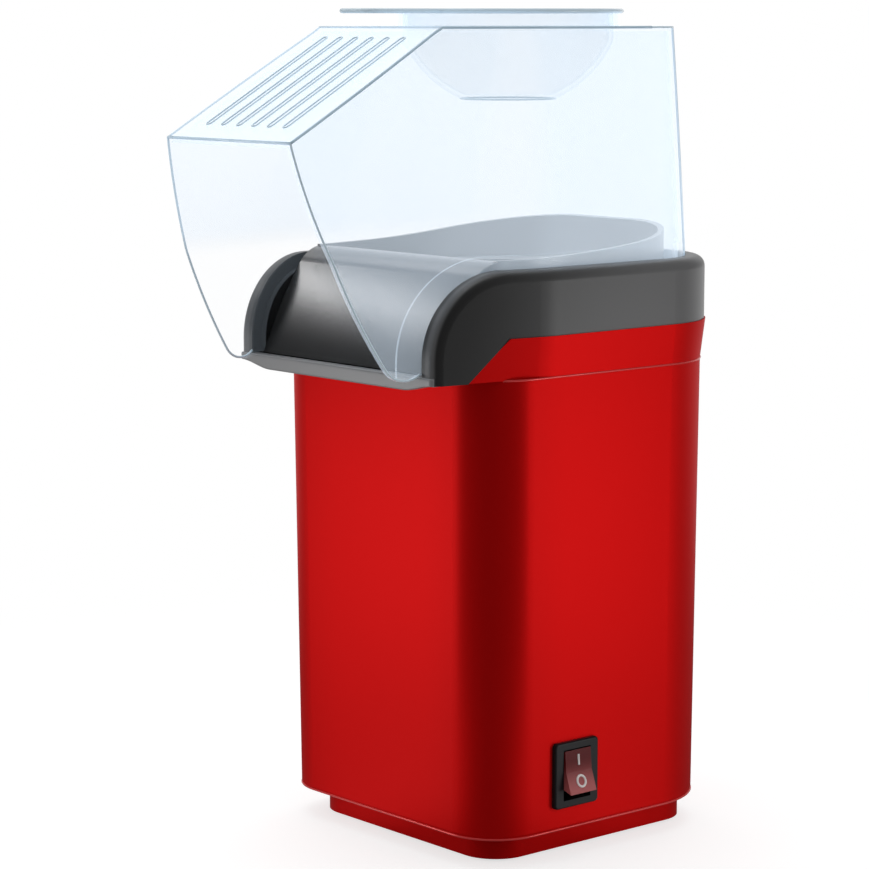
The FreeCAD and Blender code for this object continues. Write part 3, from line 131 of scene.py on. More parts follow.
def maths(tree, operation, first, second=None, third=None):
    """A Math node whose inputs are sockets or plain numbers."""
    node = tree.nodes.new("ShaderNodeMath")
    node.operation = operation
    for slot, value in enumerate((first, second, third)):
        if value is None:
            continue
        if isinstance(value, (int, float)):
            node.inputs[slot].default_value = value
        else:
            tree.links.new(value, node.inputs[slot])
    return node.outputs[0]


def product(tree, *values):
    """The product of several sockets."""
    result = values[0]
    for value in values[1:]:
        result = maths(tree, "MULTIPLY", result, value)
    return result


def ramp(tree, value, low, high, start, stop):
    """A smooth step from one value to another over a range of a socket."""
    node = tree.nodes.new("ShaderNodeMapRange")
    node.interpolation_type = "SMOOTHSTEP"
    node.inputs["From Min"].default_value = low
    node.inputs["From Max"].default_value = high
    node.inputs["To Min"].default_value = start
    node.inputs["To Max"].default_value = stop
    tree.links.new(value, node.inputs["Value"])
    return node.outputs["Result"]


def by_depth(tree, y, low, high, start, stop):
    """A smooth step over a range of Y in millimetres about the axis."""
    return ramp(tree, y, AXIS_Y + low * MM, AXIS_Y + high * MM, start, stop)


def reach_along(tree, point, direction):
    """How far a point socket reaches along a direction."""
    node = tree.nodes.new("ShaderNodeVectorMath")
    node.operation = "DOT_PRODUCT"
    node.inputs[1].default_value = direction
    tree.links.new(point, node.inputs[0])
    return node.outputs["Value"]


def object_axes(tree):
    """The three Object coordinates of a material."""
    place = tree.nodes.new("ShaderNodeTexCoord")
    split = tree.nodes.new("ShaderNodeSeparateXYZ")
    tree.links.new(place.outputs["Object"], split.inputs[0])
    return split.outputs["X"], split.outputs["Y"], split.outputs["Z"]


def moulding_group():
    """Moulded plastic: a slow drift of colour and gloss, and a faint grain in the skin."""
    group = bpy.data.node_groups.new("moulding", "ShaderNodeTree")
    group_socket(group, "Colour", "NodeSocketColor", True, (0.5, 0.5, 0.5, 1))
    group_socket(group, "Drift", "NodeSocketFloat", True, 0.05)
    group_socket(group, "Gloss", "NodeSocketFloat", True, 0.3)
    group_socket(group, "Grain", "NodeSocketFloat", True, 0.02)
    group_socket(group, "Colour", "NodeSocketColor", False)
    group_socket(group, "Roughness", "NodeSocketFloat", False)
    group_socket(group, "Normal", "NodeSocketVector", False)
    drift_scale, drift_detail = 18.0, 3.0
    grain_scale, grain_detail, grain_depth = 900.0, 2.0, 0.2 * MM
    nodes, links = group.nodes, group.links
    entry = nodes.new("NodeGroupInput")
    leave = nodes.new("NodeGroupOutput")
    place = nodes.new("ShaderNodeTexCoord")
    slow = nodes.new("ShaderNodeTexNoise")
    slow.inputs["Scale"].default_value = drift_scale
    slow.inputs["Detail"].default_value = drift_detail
    fine = nodes.new("ShaderNodeTexNoise")
    fine.inputs["Scale"].default_value = grain_scale
    fine.inputs["Detail"].default_value = grain_detail
    for texture in (slow, fine):
        links.new(place.outputs["Object"], texture.inputs["Vector"])
    centred = maths(group, "SUBTRACT", slow.outputs["Fac"], 0.5)
    swing = maths(group, "MULTIPLY_ADD", centred, entry.outputs["Drift"], 1.0)
    shade = nodes.new("ShaderNodeVectorMath")
    shade.operation = "SCALE"
    links.new(entry.outputs["Colour"], shade.inputs[0])
    links.new(swing, shade.inputs["Scale"])
    links.new(shade.outputs[0], leave.inputs["Colour"])
    links.new(product(group, entry.outputs["Gloss"], swing), leave.inputs["Roughness"])
    bump = nodes.new("ShaderNodeBump")
    bump.inputs["Distance"].default_value = grain_depth
    links.new(fine.outputs["Fac"], bump.inputs["Height"])
    links.new(entry.outputs["Grain"], bump.inputs["Strength"])
    links.new(bump.outputs["Normal"], leave.inputs["Normal"])
    return group


MOULDING = moulding_group()


def moulded(name, colour, gloss, drift=0.06, grain=0.02, metallic=0.0, specular=0.5, tint=None):
    """Material of moulded plastic, or of metal with the same fine unevenness."""
    material = bpy.data.materials.new(name)
    material.use_nodes = True
    nodes, links = material.node_tree.nodes, material.node_tree.links
    shader = nodes["Principled BSDF"]
    skin = nodes.new("ShaderNodeGroup")
    skin.name = "skin"
    skin.node_tree = MOULDING
    skin.inputs["Colour"].default_value = (*colour, 1)
    skin.inputs["Drift"].default_value = drift
    skin.inputs["Gloss"].default_value = gloss
    skin.inputs["Grain"].default_value = grain
    links.new(skin.outputs["Colour"], shader.inputs["Base Color"])
    links.new(skin.outputs["Roughness"], shader.inputs["Roughness"])
    links.new(skin.outputs["Normal"], shader.inputs["Normal"])
    shader.inputs["Metallic"].default_value = metallic
    shader.inputs["Specular IOR Level"].default_value = specular
    if tint is not None:
        shader.inputs["Specular Tint"].default_value = (*tint, 1)
    return material


def clear(name, colour, face, rim, painted_glow, blend=0.35, onset=0.0, far=1.0):
    """Clear plastic: a pale veil that is thicker where the wall is seen along its length and, where far is
    below 1, thinner in the skirt that stands inside the far cheek, with a painted glow: a little emission in
    the veil's own colour."""
    skirt_low, skirt_high = 212.0, 224.0
    skirt_far, skirt_near = -35.0, -5.0
    material = moulded(name, colour, gloss=0.08, drift=0.03, grain=0.0, specular=0.3)
    tree = material.node_tree
    shader = tree.nodes["Principled BSDF"]
    # Painted glow: the veil emits a little light of its own colour, though it is no lamp.
    shader.inputs["Emission Color"].default_value = (*colour, 1)
    shader.inputs["Emission Strength"].default_value = painted_glow
    facing = tree.nodes.new("ShaderNodeLayerWeight")
    facing.inputs["Blend"].default_value = blend
    spread = tree.nodes.new("ShaderNodeMapRange")
    spread.inputs["From Min"].default_value = onset
    spread.inputs["To Min"].default_value = face
    spread.inputs["To Max"].default_value = rim
    tree.links.new(facing.outputs["Facing"], spread.inputs["Value"])
    x, _, z = object_axes(tree)
    skirt = maths(tree, "MAXIMUM", ramp(tree, x, skirt_far * MM, skirt_near * MM, far, 1.0),
                  ramp(tree, z, skirt_low * MM, skirt_high * MM, far, 1.0))
    tree.links.new(product(tree, spread.outputs["Result"], skirt), shader.inputs["Alpha"])
    return material


def smoky_with_painted_sheen(name, sheen_colour, high_colour, low, high):
    """Tinted rocker plastic: deep at its upper end and lighter at its lower end, by height in millimetres;
    the lighter lower end is a painted reflection.
    """
    material = moulded(name, sheen_colour, gloss=0.22, specular=0.1)
    tree = material.node_tree
    _, _, height = object_axes(tree)
    blend = tree.nodes.new("ShaderNodeMix")
    blend.data_type = "RGBA"
    blend.inputs["A"].default_value = (*sheen_colour, 1)
    blend.inputs["B"].default_value = (*high_colour, 1)
    tree.links.new(ramp(tree, height, low * MM, high * MM, 0.0, 1.0), blend.inputs["Factor"])
    tree.links.new(blend.outputs["Result"], tree.nodes["skin"].inputs["Colour"])
    return material


RED = moulded("red_shell", (0.66, 0.005, 0.005), 0.44, metallic=0.45, specular=0.12, tint=(1, 0.1, 0.1))
# A lighter, glossier copy of the red: a painted highlight on the housing's beads.
HIGHLIGHT_RED = moulded("seam_highlight_red", (0.78, 0.06, 0.06), 0.25, metallic=0.3)
DARK = moulded("collar_grey", (0.085, 0.085, 0.086), 0.36, specular=0.4)
LINER = moulded("liner_grey", (0.5, 0.5, 0.505), 0.26)
BLACK = moulded("switch_black", (0.01, 0.01, 0.011), 0.35, specular=0.2)
ROCKER = smoky_with_painted_sheen("rocker_red", (0.42, 0.1, 0.1), (0.1, 0.004, 0.005), low=25.0, high=37.0)
APRON = moulded("apron_grey", (0.24, 0.24, 0.245), 0.35)
MARK = moulded("mark_white", (0.85, 0.8, 0.78), 0.4)
RUBBER = moulded("rubber", (0.03, 0.03, 0.03), 0.7, grain=0.2)
STEEL = moulded("steel", (0.5, 0.5, 0.51), 0.35, metallic=1.0)
ALUMINIUM = moulded("aluminium", (0.72, 0.72, 0.73), 0.3, metallic=1.0)
BRONZE = moulded("bronze", (0.6, 0.42, 0.2), 0.35, metallic=1.0)
INNER = moulded("inner_plastic", (0.1, 0.1, 0.1), 0.5)
MICA = moulded("mica", (0.62, 0.55, 0.4), 0.5, drift=0.4)
COPPER = moulded("copper", (0.6, 0.28, 0.13), 0.35, metallic=1.0)
BOARD = moulded("board", (0.06, 0.2, 0.08), 0.5)
FERRITE = moulded("ferrite", (0.06, 0.06, 0.062), 0.6, drift=0.2)
CLEAR = clear("clear_shell", (0.76, 0.88, 1.0), face=0.12, rim=0.5, painted_glow=0.5, far=0.12)
CUP = clear("clear_cup", (0.56, 0.7, 0.82), face=0.04, rim=0.85, painted_glow=0.25, blend=0.2, onset=0.42)
# Opaque blue tints for the beads on the clear parts: painted shade standing in for the darker look of the
# clear edges.
EDGE_SHADE = moulded("clear_edge_shade", (0.56, 0.73, 0.86), 0.15, drift=0.2)
FINE_EDGE_SHADE = moulded("clear_fine_edge_shade", (0.72, 0.86, 0.95), 0.15, drift=0.2)

FINISHES = (
    (RED, ("housing", "base_cover")),
    (DARK, ("collar",)),
    (LINER, ("chute_liner",)),
    (CLEAR, ("hood",)),
    (CUP, ("measuring_cup",)),
    (BLACK, ("switch_body", "rectifier_diodes")),
    (ROCKER, ("switch_rocker",)),
    (RUBBER, ("rubber_feet", "cord_grommet")),
    (STEEL, ("base_screws", "collar_screws", "liner_screws", "chamber_screws", "fan_housing_screws",
             "motor_screws", "air_jacket", "motor_can", "motor_shaft", "thermostat", "heater_coil")),
    (ALUMINIUM, ("popping_chamber",)),
    (BRONZE, ("motor_bushes", "thermal_fuse", "switch_terminals")),
    (INNER, ("fan_housing", "fan_impeller", "motor_end_cap")),
    (MICA, ("heater_frame",)),
    (COPPER, ("armature",)),
    (BOARD, ("rectifier_board",)),
    (FERRITE, ("motor_magnets",)),
)


def paint_nodes():
    """Gives every CAD node its material."""
    for material, names in FINISHES:
        for name in names:
            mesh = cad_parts[name].data
            mesh.materials.clear()
            mesh.materials.append(material)


def paint_light_and_shade(material, factor):
    """Scales a moulded material's colour by a socket of its own tree, which paints light and shade into the
    colour.
    """
    tree = material.node_tree
    skin = tree.nodes["skin"]
    scale = tree.nodes.new("ShaderNodeVectorMath")
    scale.operation = "SCALE"
    scale.inputs[0].default_value = tuple(skin.inputs["Colour"].default_value)[:3]
    tree.links.new(factor, scale.inputs["Scale"])
    tree.links.new(scale.outputs[0], skin.inputs["Colour"])


def paint_red_corner_shade():
    """Painted shade on the red: it turns darker towards the four upright corners, by the lesser of the
    distances from the body's two middle planes."""
    start, stop, corner_shade = 22.0, 56.0, 0.86
    tree = RED.node_tree
    x, y, _ = object_axes(tree)
    beside = maths(tree, "ABSOLUTE", maths(tree, "SUBTRACT", y, AXIS_Y))
    inset = maths(tree, "MINIMUM", maths(tree, "ABSOLUTE", x), beside)
    paint_light_and_shade(RED, ramp(tree, inset, start * MM, stop * MM, 1.0, corner_shade))


def paint_collar_shade_and_highlight():
    """Painted light and shade on the collar: painted shade makes it darker towards the chute and darkest
    inside its cheeks, and a painted highlight lies on the front rim of their arch. A cheek's inside is told
    by |x| with the cheek's slant added back, and the rim by the distance from the arch's axis."""
    inside, wall, inner_shade = 57.3, 58.8, 0.45
    rim_start, rim_stop, rim_highlight_gain = 28.9, 29.7, 3.6
    tree = DARK.node_tree
    x, y, z = object_axes(tree)
    forward = maths(tree, "SUBTRACT", y, AXIS_Y)
    slant = maths(tree, "MULTIPLY_ADD", forward, -CHEEK_SLANT, -CHEEK_SLANT * CHEEK_START * MM)
    breadth = maths(tree, "ADD", maths(tree, "ABSOLUTE", x), slant)
    # Painted shade inside the cheeks.
    inner = maths(tree, "MAXIMUM", ramp(tree, breadth, inside * MM, wall * MM, inner_shade, 1.0),
                  by_depth(tree, y, -45.0, -20.0, inner_shade, 1.0))
    # Painted shade towards the chute and painted light towards the back.
    front = by_depth(tree, y, -75.0, 25.0, 0.26, 1.6)
    arch_y = AXIS_Y + (ARCH_RADIUS - CHEEK_REACH) * MM
    rise = maths(tree, "MAXIMUM", maths(tree, "SUBTRACT", z, COLLAR_TOP - ARCH_RADIUS * MM), 0.0)
    ahead = maths(tree, "MINIMUM", maths(tree, "SUBTRACT", y, arch_y), 0.0)
    reach = maths(tree, "SQRT", maths(tree, "MULTIPLY_ADD", rise, rise, product(tree, ahead, ahead)))
    rim = product(tree, ramp(tree, reach, rim_start * MM, rim_stop * MM, 0.0, 1.0),
                  by_depth(tree, y, -70.0, -52.0, 1.0, 0.0))
    # Painted highlight on the arch's front rim.
    painted_rim_highlight = maths(tree, "MULTIPLY_ADD", rim, rim_highlight_gain, 1.0)
    paint_light_and_shade(DARK, product(tree, painted_rim_highlight, front, inner))


def paint_liner_light_shade_and_polish():
    """The liner is satin in its well and polished down the chute; its colour is darker on the chute, with
    painted shade at the chute's foot and painted light towards the back of the well.
    """
    crest = (-54.0, -44.0)
    tree = LINER.node_tree
    _, y, _ = object_axes(tree)
    chute = by_depth(tree, y, *crest, 0.5, 0.9)
    # Painted shade at the chute's foot.
    foot = by_depth(tree, y, -76.5, -64.0, 0.45, 1.0)
    # Painted light towards the back of the well.
    well = by_depth(tree, y, -20.0, 45.0, 1.0, 1.6)
    paint_light_and_shade(LINER, product(tree, chute, foot, well))
    polish = by_depth(tree, y, *crest, 0.9, 0.1)
    tree.links.new(polish, tree.nodes["Principled BSDF"].inputs["Metallic"])


def tube(rings, closed=False):
    """Skin over rows of rings that turn to the left about their path, as quads between neighbouring rows.
    A closed path joins its last row to its first, and an open one gets a fan about the centre of each end."""
    count, sides = rings.shape[:2]
    row = np.arange(count if closed else count - 1)[:, None] * sides
    here = np.arange(sides)[None]
    after = (here + 1) % sides
    up = (row + sides) % (count * sides)
    quads = np.stack((row + here, row + after, up + after, up + here), -1).reshape(-1, 4)
    points = rings.reshape(-1, 3)
    if closed:
        return points, (quads,)
    points = np.concatenate((points, rings[:1].mean(1), rings[-1:].mean(1)))
    last_row = (count - 1) * sides
    first = np.stack((np.full(sides, count * sides), after[0], here[0]), -1)
    last = np.stack((np.full(sides, count * sides + 1), last_row + here[0], last_row + after[0]), -1)
    return points, (quads, first, last)


def bead(path, radius, hint, closed=False, sides=10):
    """Round bead along a path: each ring is centre + radius * (cos a * N + sin a * B), N square to the
    path's direction T and nearest to the hint, B = T x N."""
    path = np.asarray(path, float)
    if closed:
        ahead = np.roll(path, -1, 0) - np.roll(path, 1, 0)
    else:
        ahead = np.gradient(path, axis=0)
    ahead /= np.linalg.norm(ahead, axis=1, keepdims=True)
    hint = np.broadcast_to(np.asarray(hint, float), path.shape)
    side = hint - np.sum(hint * ahead, 1, keepdims=True) * ahead
    side /= np.linalg.norm(side, axis=1, keepdims=True)
    other = np.cross(ahead, side)
    turn = np.arange(sides)[None, :, None] * FULL_TURN / sides
    rings = path[:, None] + radius * (np.cos(turn) * side[:, None] + np.sin(turn) * other[:, None])
    return tube(rings, closed)


def piece(name, shapes, material, body):
    """One object from several closed surfaces in millimetres about the axis, riding on a body."""
    points, faces, start = [], [], 0
    for corners, face_sets in shapes:
        points.append(corners)
        for face_set in face_sets:
            faces += (face_set + start).tolist()
        start += len(corners)
    places = np.concatenate(points) * MM + np.array((0.0, AXIS_Y, 0.0))
    mesh = bpy.data.meshes.new(name)
    mesh.from_pydata(places.tolist(), [], faces)
    mesh.polygons.foreach_set("use_smooth", np.ones(len(mesh.polygons), bool))
    mesh.materials.append(material)
    thing = bpy.data.objects.new(name, mesh)
    bpy.context.scene.collection.objects.link(thing)
    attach(thing, body)


def line(start, end, count):
    """Even points of a straight run, both ends among them."""
    return np.linspace(start, end, count)


def between(start, end, count):
    """Even points of a straight run without its two ends."""
    return line(start, end, count)[1:-1]


def arc(start, end, radius, count):
    """Points of the arc that bends to the left from one point to another in a plane."""
    start, end = np.array(start), np.array(end)
    chord = end - start
    half = np.linalg.norm(chord) / 2
    left = np.array((-chord[1], chord[0])) / (2 * half)
    centre = (start + end) / 2 + left * math.sqrt(radius * radius - half * half)
    first = math.atan2(*(start - centre)[::-1])
    turn = first + np.linspace(0, 2 * math.asin(half / radius), count)
    return centre + radius * np.stack((np.cos(turn), np.sin(turn)), 1)


def round_at(x, y, radius, turn):
    """Points on a circle about (x, y) at the given turns."""
    return np.column_stack((x + radius * np.cos(turn), y + radius * np.sin(turn)))


def at_height(plan, height):
    """A path in plan lifted to one height."""
    return np.column_stack((plan, np.full(len(plan), height)))


def node_points(mesh):
    """A node's points in millimetres about the body axis."""
    flat = np.empty(len(mesh.vertices) * 3)
    mesh.vertices.foreach_get("co", flat)
    return (flat.reshape(-1, 3) - np.array((0.0, AXIS_Y, 0.0))) / MM


def outer_corner(node, heights, way):
    """Farthest (x, y) of a node's skin in a level direction at each height: every mesh edge is cut at the
    height by its share of the edge's rise, and the cut that reaches farthest is kept."""
    level_edge = 1e-6
    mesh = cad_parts[node].data
    pairs = np.empty(len(mesh.edges) * 2, np.int32)
    mesh.edges.foreach_get("vertices", pairs)
    low, high = node_points(mesh)[pairs.reshape(-1, 2)].transpose(1, 0, 2)
    steep = np.abs(high[:, 2] - low[:, 2]) > level_edge
    low, rise = low[steep], (high - low)[steep]
    share = (heights[:, None] - low[:, 2]) / rise[:, 2]
    cuts = low[:, :2] + share[..., None] * rise[:, :2]
    reach = np.where((share >= 0) & (share <= 1), cuts @ np.asarray(way), -np.inf)
    return cuts[np.arange(len(share)), reach.argmax(1)]


def outer_side(node, spots):
    """Greatest X in millimetres at which a line along X through each (y, z) spot meets a node's skin: every
    spot is tested against every triangle by its barycentric weights in the Y-Z plane."""
    thin, slack = 1e-9, 1e-6
    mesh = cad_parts[node].data
    mesh.calc_loop_triangles()
    corners = np.empty(len(mesh.loop_triangles) * 3, np.int32)
    mesh.loop_triangles.foreach_get("vertices", corners)
    a, b, c = node_points(mesh)[corners.reshape(-1, 3)].transpose(1, 0, 2)
    area = (b[:, 1] - a[:, 1]) * (c[:, 2] - a[:, 2]) - (c[:, 1] - a[:, 1]) * (b[:, 2] - a[:, 2])
    keep = np.abs(area) > thin
    a, b, c, area = a[keep], b[keep], c[keep], area[keep]
    y, z = spots[:, :1], spots[:, 1:2]
    second = ((y - a[:, 1]) * (c[:, 2] - a[:, 2]) - (c[:, 1] - a[:, 1]) * (z - a[:, 2])) / area
    third = ((b[:, 1] - a[:, 1]) * (z - a[:, 2]) - (y - a[:, 1]) * (b[:, 2] - a[:, 2])) / area
    inside = (second >= -slack) & (third >= -slack) & (second + third <= 1 + slack)
    x = a[:, 0] + second * (b[:, 0] - a[:, 0]) + third * (c[:, 0] - a[:, 0])
    return np.where(inside, x, -np.inf).max(1)


def hood_side_edge():
    """Edge of the hood's near side: straight along the roof and the slope, an arc down the front and a tight
    arc round the tongue, all in the side view, with X from the hood's own skin."""
    sunk = 0.15
    level = ROOF - EDGE_INWARD
    tongue = (TONGUE[0] + EDGE_INWARD, TONGUE[1])
    slope_start = (SLOPE_TOP[0] - 1.0, ROOF - 1.0)
    slope_stop = (SLOPE_FRONT[0] + 0.6, SLOPE_FRONT[1] - 0.1)
    front_start = (SLOPE_FRONT[0] + 0.7, SLOPE_FRONT[1] - 1.0)
    roof = line((ROOF_EDGE_START, level), (SLOPE_TOP[0], level), ROOF_STEPS)
    slope = line(slope_start, slope_stop, SLOPE_STEPS)
    front = arc(front_start, tongue, FRONT_CURVE, FRONT_STEPS)[1:]
    seat = arc(tongue, (SEAT[0], SEAT[1] + EDGE_INWARD), TONGUE_CURVE, TONGUE_STEPS)[1:]
    profile = np.concatenate((roof, slope, front, seat))
    return np.column_stack((outer_side("hood", profile) - sunk, profile))


def hood_back_edge(side):
    """Edge of the roof round its two back corners, each a quarter of a circle in plan."""
    level = ROOF - EDGE_INWARD
    turn = np.linspace(0, QUARTER, 12)[1:]
    corner = at_height(round_at(side - BACK_ROUND, BACK_START, BACK_ROUND, turn), level)
    start = np.array(((side, BACK_START, level),))
    return np.concatenate((start, corner, (corner * MIRROR)[::-1], start * MIRROR))


def hood_corner_line():
    """Upright line on a back corner: a parabola over height, fitted to the corner's farthest points."""
    sunk = 0.2
    heights = np.linspace(CORNER_FOOT, ROOF - EDGE_INWARD, 40)
    farthest = outer_corner("hood", heights, BACK_CORNER)
    plan = np.vander(heights, 3) @ np.polyfit(heights, farthest, 2) - sunk * np.array(BACK_CORNER)
    return np.column_stack((plan, heights))


def slot_rims():
    """Rims of the six slots in the slope: two straight runs and two half circles in plan, each laid on the
    slope."""
    fall = (SLOPE_TOP[1] - SLOPE_FRONT[1]) / (SLOPE_TOP[0] - SLOPE_FRONT[0])
    square_to_slope = np.array((0, -fall, 1)) / math.hypot(1, fall)
    turn = np.linspace(0, np.pi, 9)
    top = round_at(0.0, SLOT_TOP - SLOT_HALF, SLOT_HALF, turn)
    foot = round_at(0.0, SLOT_FOOT + SLOT_HALF, SLOT_HALF, turn + np.pi)
    loop = np.concatenate((top, between(top[-1], foot[0], 30), foot, between(foot[-1], top[0], 30)))
    height = ROOF + (loop[:, 1] - SLOPE_TOP[0]) * fall
    path = np.column_stack((loop, height))
    shifts = SLOT_PITCH * (np.arange(SLOT_COUNT) - (SLOT_COUNT - 1) / 2)
    return [bead(path + (shift, 0, 0), SLOT_BEAD, square_to_slope, closed=True, sides=8) for shift in shifts]


def dress_hood():
    """Round beads on the hood's edges, its bends and the rims of its slots, in opaque tints that paint the
    darker look of the clear edges as shade.
    """
    near = hood_side_edge()
    far = near * MIRROR
    back = hood_back_edge(near[0, 0])
    front = ROOF_STEPS + SLOPE_STEPS - 1
    bend = ROOF_STEPS - 1
    strong = [
        bead(near[:front + 1], BROAD_BEAD, ACROSS),
        bead(line(near[front], far[front], 12), BROAD_BEAD, UP),
        bead(line(near[bend], far[bend], 12), FINE_BEAD, UP),
        bead(hood_corner_line(), TONGUE_BEAD, (*BACK_CORNER, 0)),
    ]
    fine = [
        bead(near[front:], TONGUE_BEAD, ACROSS),
        bead(far[front:], TONGUE_BEAD, ACROSS),
        bead(far[:front + 1], FINE_BEAD, ACROSS),
        bead(back, FINE_BEAD, UP),
        bead(line(back[0], near[0], 6), FINE_BEAD, UP),
        bead(line(back[-1], far[0], 6), FINE_BEAD, UP),
    ]
    piece("hood_edge_bead", strong, EDGE_SHADE, "hood")
    piece("hood_rim_bead", fine, FINE_EDGE_SHADE, "hood")
    piece("vent_slot_rims", slot_rims(), FINE_EDGE_SHADE, "hood")


def dress_cup():
    """Rolled rim round the cup's flange and handle, and the crease round its base: beads on a circle that
    breaks off at the handle's sides, and on a full circle, tinted to paint the darker edge lines of the clear
    cup as shade."""
    rim_bead, rim_sunk = 0.85, 0.8
    crease_bead, crease_raised = 0.3, 0.25
    start = math.asin(HANDLE_HALF / FLANGE_RADIUS)
    turn = -QUARTER + np.linspace(start, FULL_TURN - start, 120)
    flange = round_at(0.0, CUP_CENTRE, FLANGE_RADIUS, turn)
    quarter = np.pi + np.linspace(0, QUARTER, 8)
    left = round_at(HANDLE_ROUND - HANDLE_HALF, HANDLE_END, HANDLE_ROUND, quarter)
    right = (left * MIRROR[:2])[::-1]
    loop = np.concatenate((flange, between(flange[-1], left[0], 14), left, right,
                           between(right[-1], flange[0], 14)))
    rim = at_height(loop, CUP_HIGH.z / MM - rim_sunk)
    base = round_at(0.0, CUP_CENTRE, CUP_BASE_RADIUS, np.arange(96) * FULL_TURN / 96)
    crease = at_height(base, CUP_LOW.z / MM + crease_raised)
    piece("cup_rolled_rim", [bead(rim, rim_bead, UP, closed=True)], FINE_EDGE_SHADE, "cup")
    piece("cup_base_crease", [bead(crease, crease_bead, UP, closed=True)], FINE_EDGE_SHADE, "cup")


def body_plan(half, front, back, start):
    """The housing's plan from a turn on its front corner, round its back, to the same turn on the other side:
    quarter circles joined by straight runs."""
    corner = round_at(half - front, front - half, front, np.linspace(start, 0, 12))
    rear = round_at(half - back, half - back, back, np.linspace(0, QUARTER, 24))
    side = np.concatenate((corner, between(corner[-1], rear[0], 30), rear))
    return np.concatenate((side, (side * MIRROR[:2])[::-1]))


def dress_housing():
    """Fine raised beads on the housing, at the seam below its band and round its lower edge, in a lighter red
    that paints a highlight line on each.
    """
    seam_bead, foot_bead, foot_raised = 0.38, 0.4, 0.45
    seam = at_height(body_plan(half=61.2, front=20.0, back=35.2, start=-0.6), SEAM)
    foot = at_height(body_plan(half=59.6, front=20.0, back=33.5, start=-QUARTER), BODY_FOOT + foot_raised)
    shapes = [bead(seam, seam_bead, UP), bead(foot, foot_bead, UP, closed=True)]
    piece("seam_bead", shapes, HIGHLIGHT_RED, "stand")


def dress_spout():
    """Grey strip along the chute's lip, across the spout from cheek to cheek: a rounded oblong section, from
    the powers of a turn's cosine and sine, whose lower edge rises in a smooth step towards both ends."""
    half, level_half = 53.5, 37.5
    front, back = -80.9, -76.5
    top, foot, lift = 176.6, 171.3, 2.5
    squareness = 0.3
    across = np.linspace(-half, half, 64)[:, None]
    step = np.clip((np.abs(across) - level_half) / (half - level_half), 0, 1)
    low = foot + lift * step * step * (3 - 2 * step)
    turn = np.arange(40)[None] * FULL_TURN / 40
    outward = np.sign(np.cos(turn)) * np.abs(np.cos(turn)) ** squareness
    upward = np.sign(np.sin(turn)) * np.abs(np.sin(turn)) ** squareness
    y = (front + back) / 2 + (back - front) / 2 * outward
    z = (top + low) / 2 + (top - low) / 2 * upward
    rings = np.stack(np.broadcast_arrays(across, y, z), -1)
    piece("lip_strip", [tube(rings)], APRON, "stand")


def dress_rocker():
    """The bar and the ring on the rocker's two faces, each a bead half sunk in the dished face."""
    tilt = math.radians(12)
    pivot, level, centre = 57.851, 31.2, -20.0
    face_out, dish, proud = 5.0, 7.8, 0.05
    bar_low, bar_high, bar_bead = 2.2, 6.0, 0.42
    ring_middle, ring_up, ring_across, ring_bead = -3.6, 2.0, 1.9, 0.45

    def on_face(up, across):
        """A point of the face: out from the pivot, more so towards both ends, then turned by the tilt."""
        out = face_out + np.abs(up) / dish + proud
        return np.column_stack((pivot + out * math.cos(tilt) - up * math.sin(tilt), centre + across,
                                level + out * math.sin(tilt) + up * math.cos(tilt)))

    bar = on_face(np.linspace(bar_low, bar_high, 12), np.zeros(12))
    turn = np.arange(48) * FULL_TURN / 48
    ring = on_face(ring_middle + ring_up * np.sin(turn), ring_across * np.cos(turn))
    shapes = [bead(bar, bar_bead, ALONG), bead(ring, ring_bead, ACROSS, closed=True)]
    piece("rocker_marks", shapes, MARK, "rocker")


# Lamps: name, place and aim in metres, size in metres, brightness of the lamp's face.
LAMPS = (
    ("left_card", (-0.19, -0.247, 0.095), (0.035, -0.052, 0.135), (0.065, 0.18), 4.4),
    ("right_card", (0.299, 0.195, 0.105), (0.081, -0.011, 0.145), (0.065, 0.2), 4.4),
    ("top_card", (-0.3, 0.2, 1.2), (0, 0, 0.2), (1.2, 1.2), 1.2),
    ("chute_strip", (-0.451, -0.25, 0.53), (0, -0.04, 0.2), (0.3, 0.06), 4.2),
)


def hang_lamps():
    """Soft rectangular lamps, each facing its aim and unseen by the camera."""
    for name, where, aim, size, brightness in LAMPS:
        data = bpy.data.lights.new(name, "AREA")
        data.shape = "RECTANGLE"
        data.size, data.size_y = size
        data.energy = brightness * math.pi * size[0] * size[1]
        lamp = bpy.data.objects.new(name, data)
        bpy.context.scene.collection.objects.link(lamp)
        lamp.location = where
        lamp.rotation_euler = (Vector(aim) - Vector(where)).to_track_quat("-Z", "Y").to_euler()
        lamp.visible_camera = False


def mixed(tree, share, first, second):
    """A mix of two shaders by a socket."""
    node = tree.nodes.new("ShaderNodeMixShader")
    tree.links.new(share, node.inputs["Fac"])
    tree.links.new(first, node.inputs[1])
    tree.links.new(second, node.inputs[2])
    return node.outputs[0]


def glow(tree, kind, strength):
    """A white Background or Emission node, of a plain or a linked strength."""
    node = tree.nodes.new(kind)
    node.inputs["Color"].default_value = WHITE
    if isinstance(strength, (int, float)):
        node.inputs["Strength"].default_value = strength
    else:
        tree.links.new(strength, node.inputs["Strength"])
    return node.outputs[0]


def ray_kinds(tree):
    """Masks of the rays that the camera sends, and of those that gloss and clear walls send."""
    ray = tree.nodes.new("ShaderNodeLightPath")
    shiny = maths(tree, "MAXIMUM", ray.outputs["Is Glossy Ray"], ray.outputs["Is Transmission Ray"])
    return ray.outputs["Is Camera Ray"], shiny


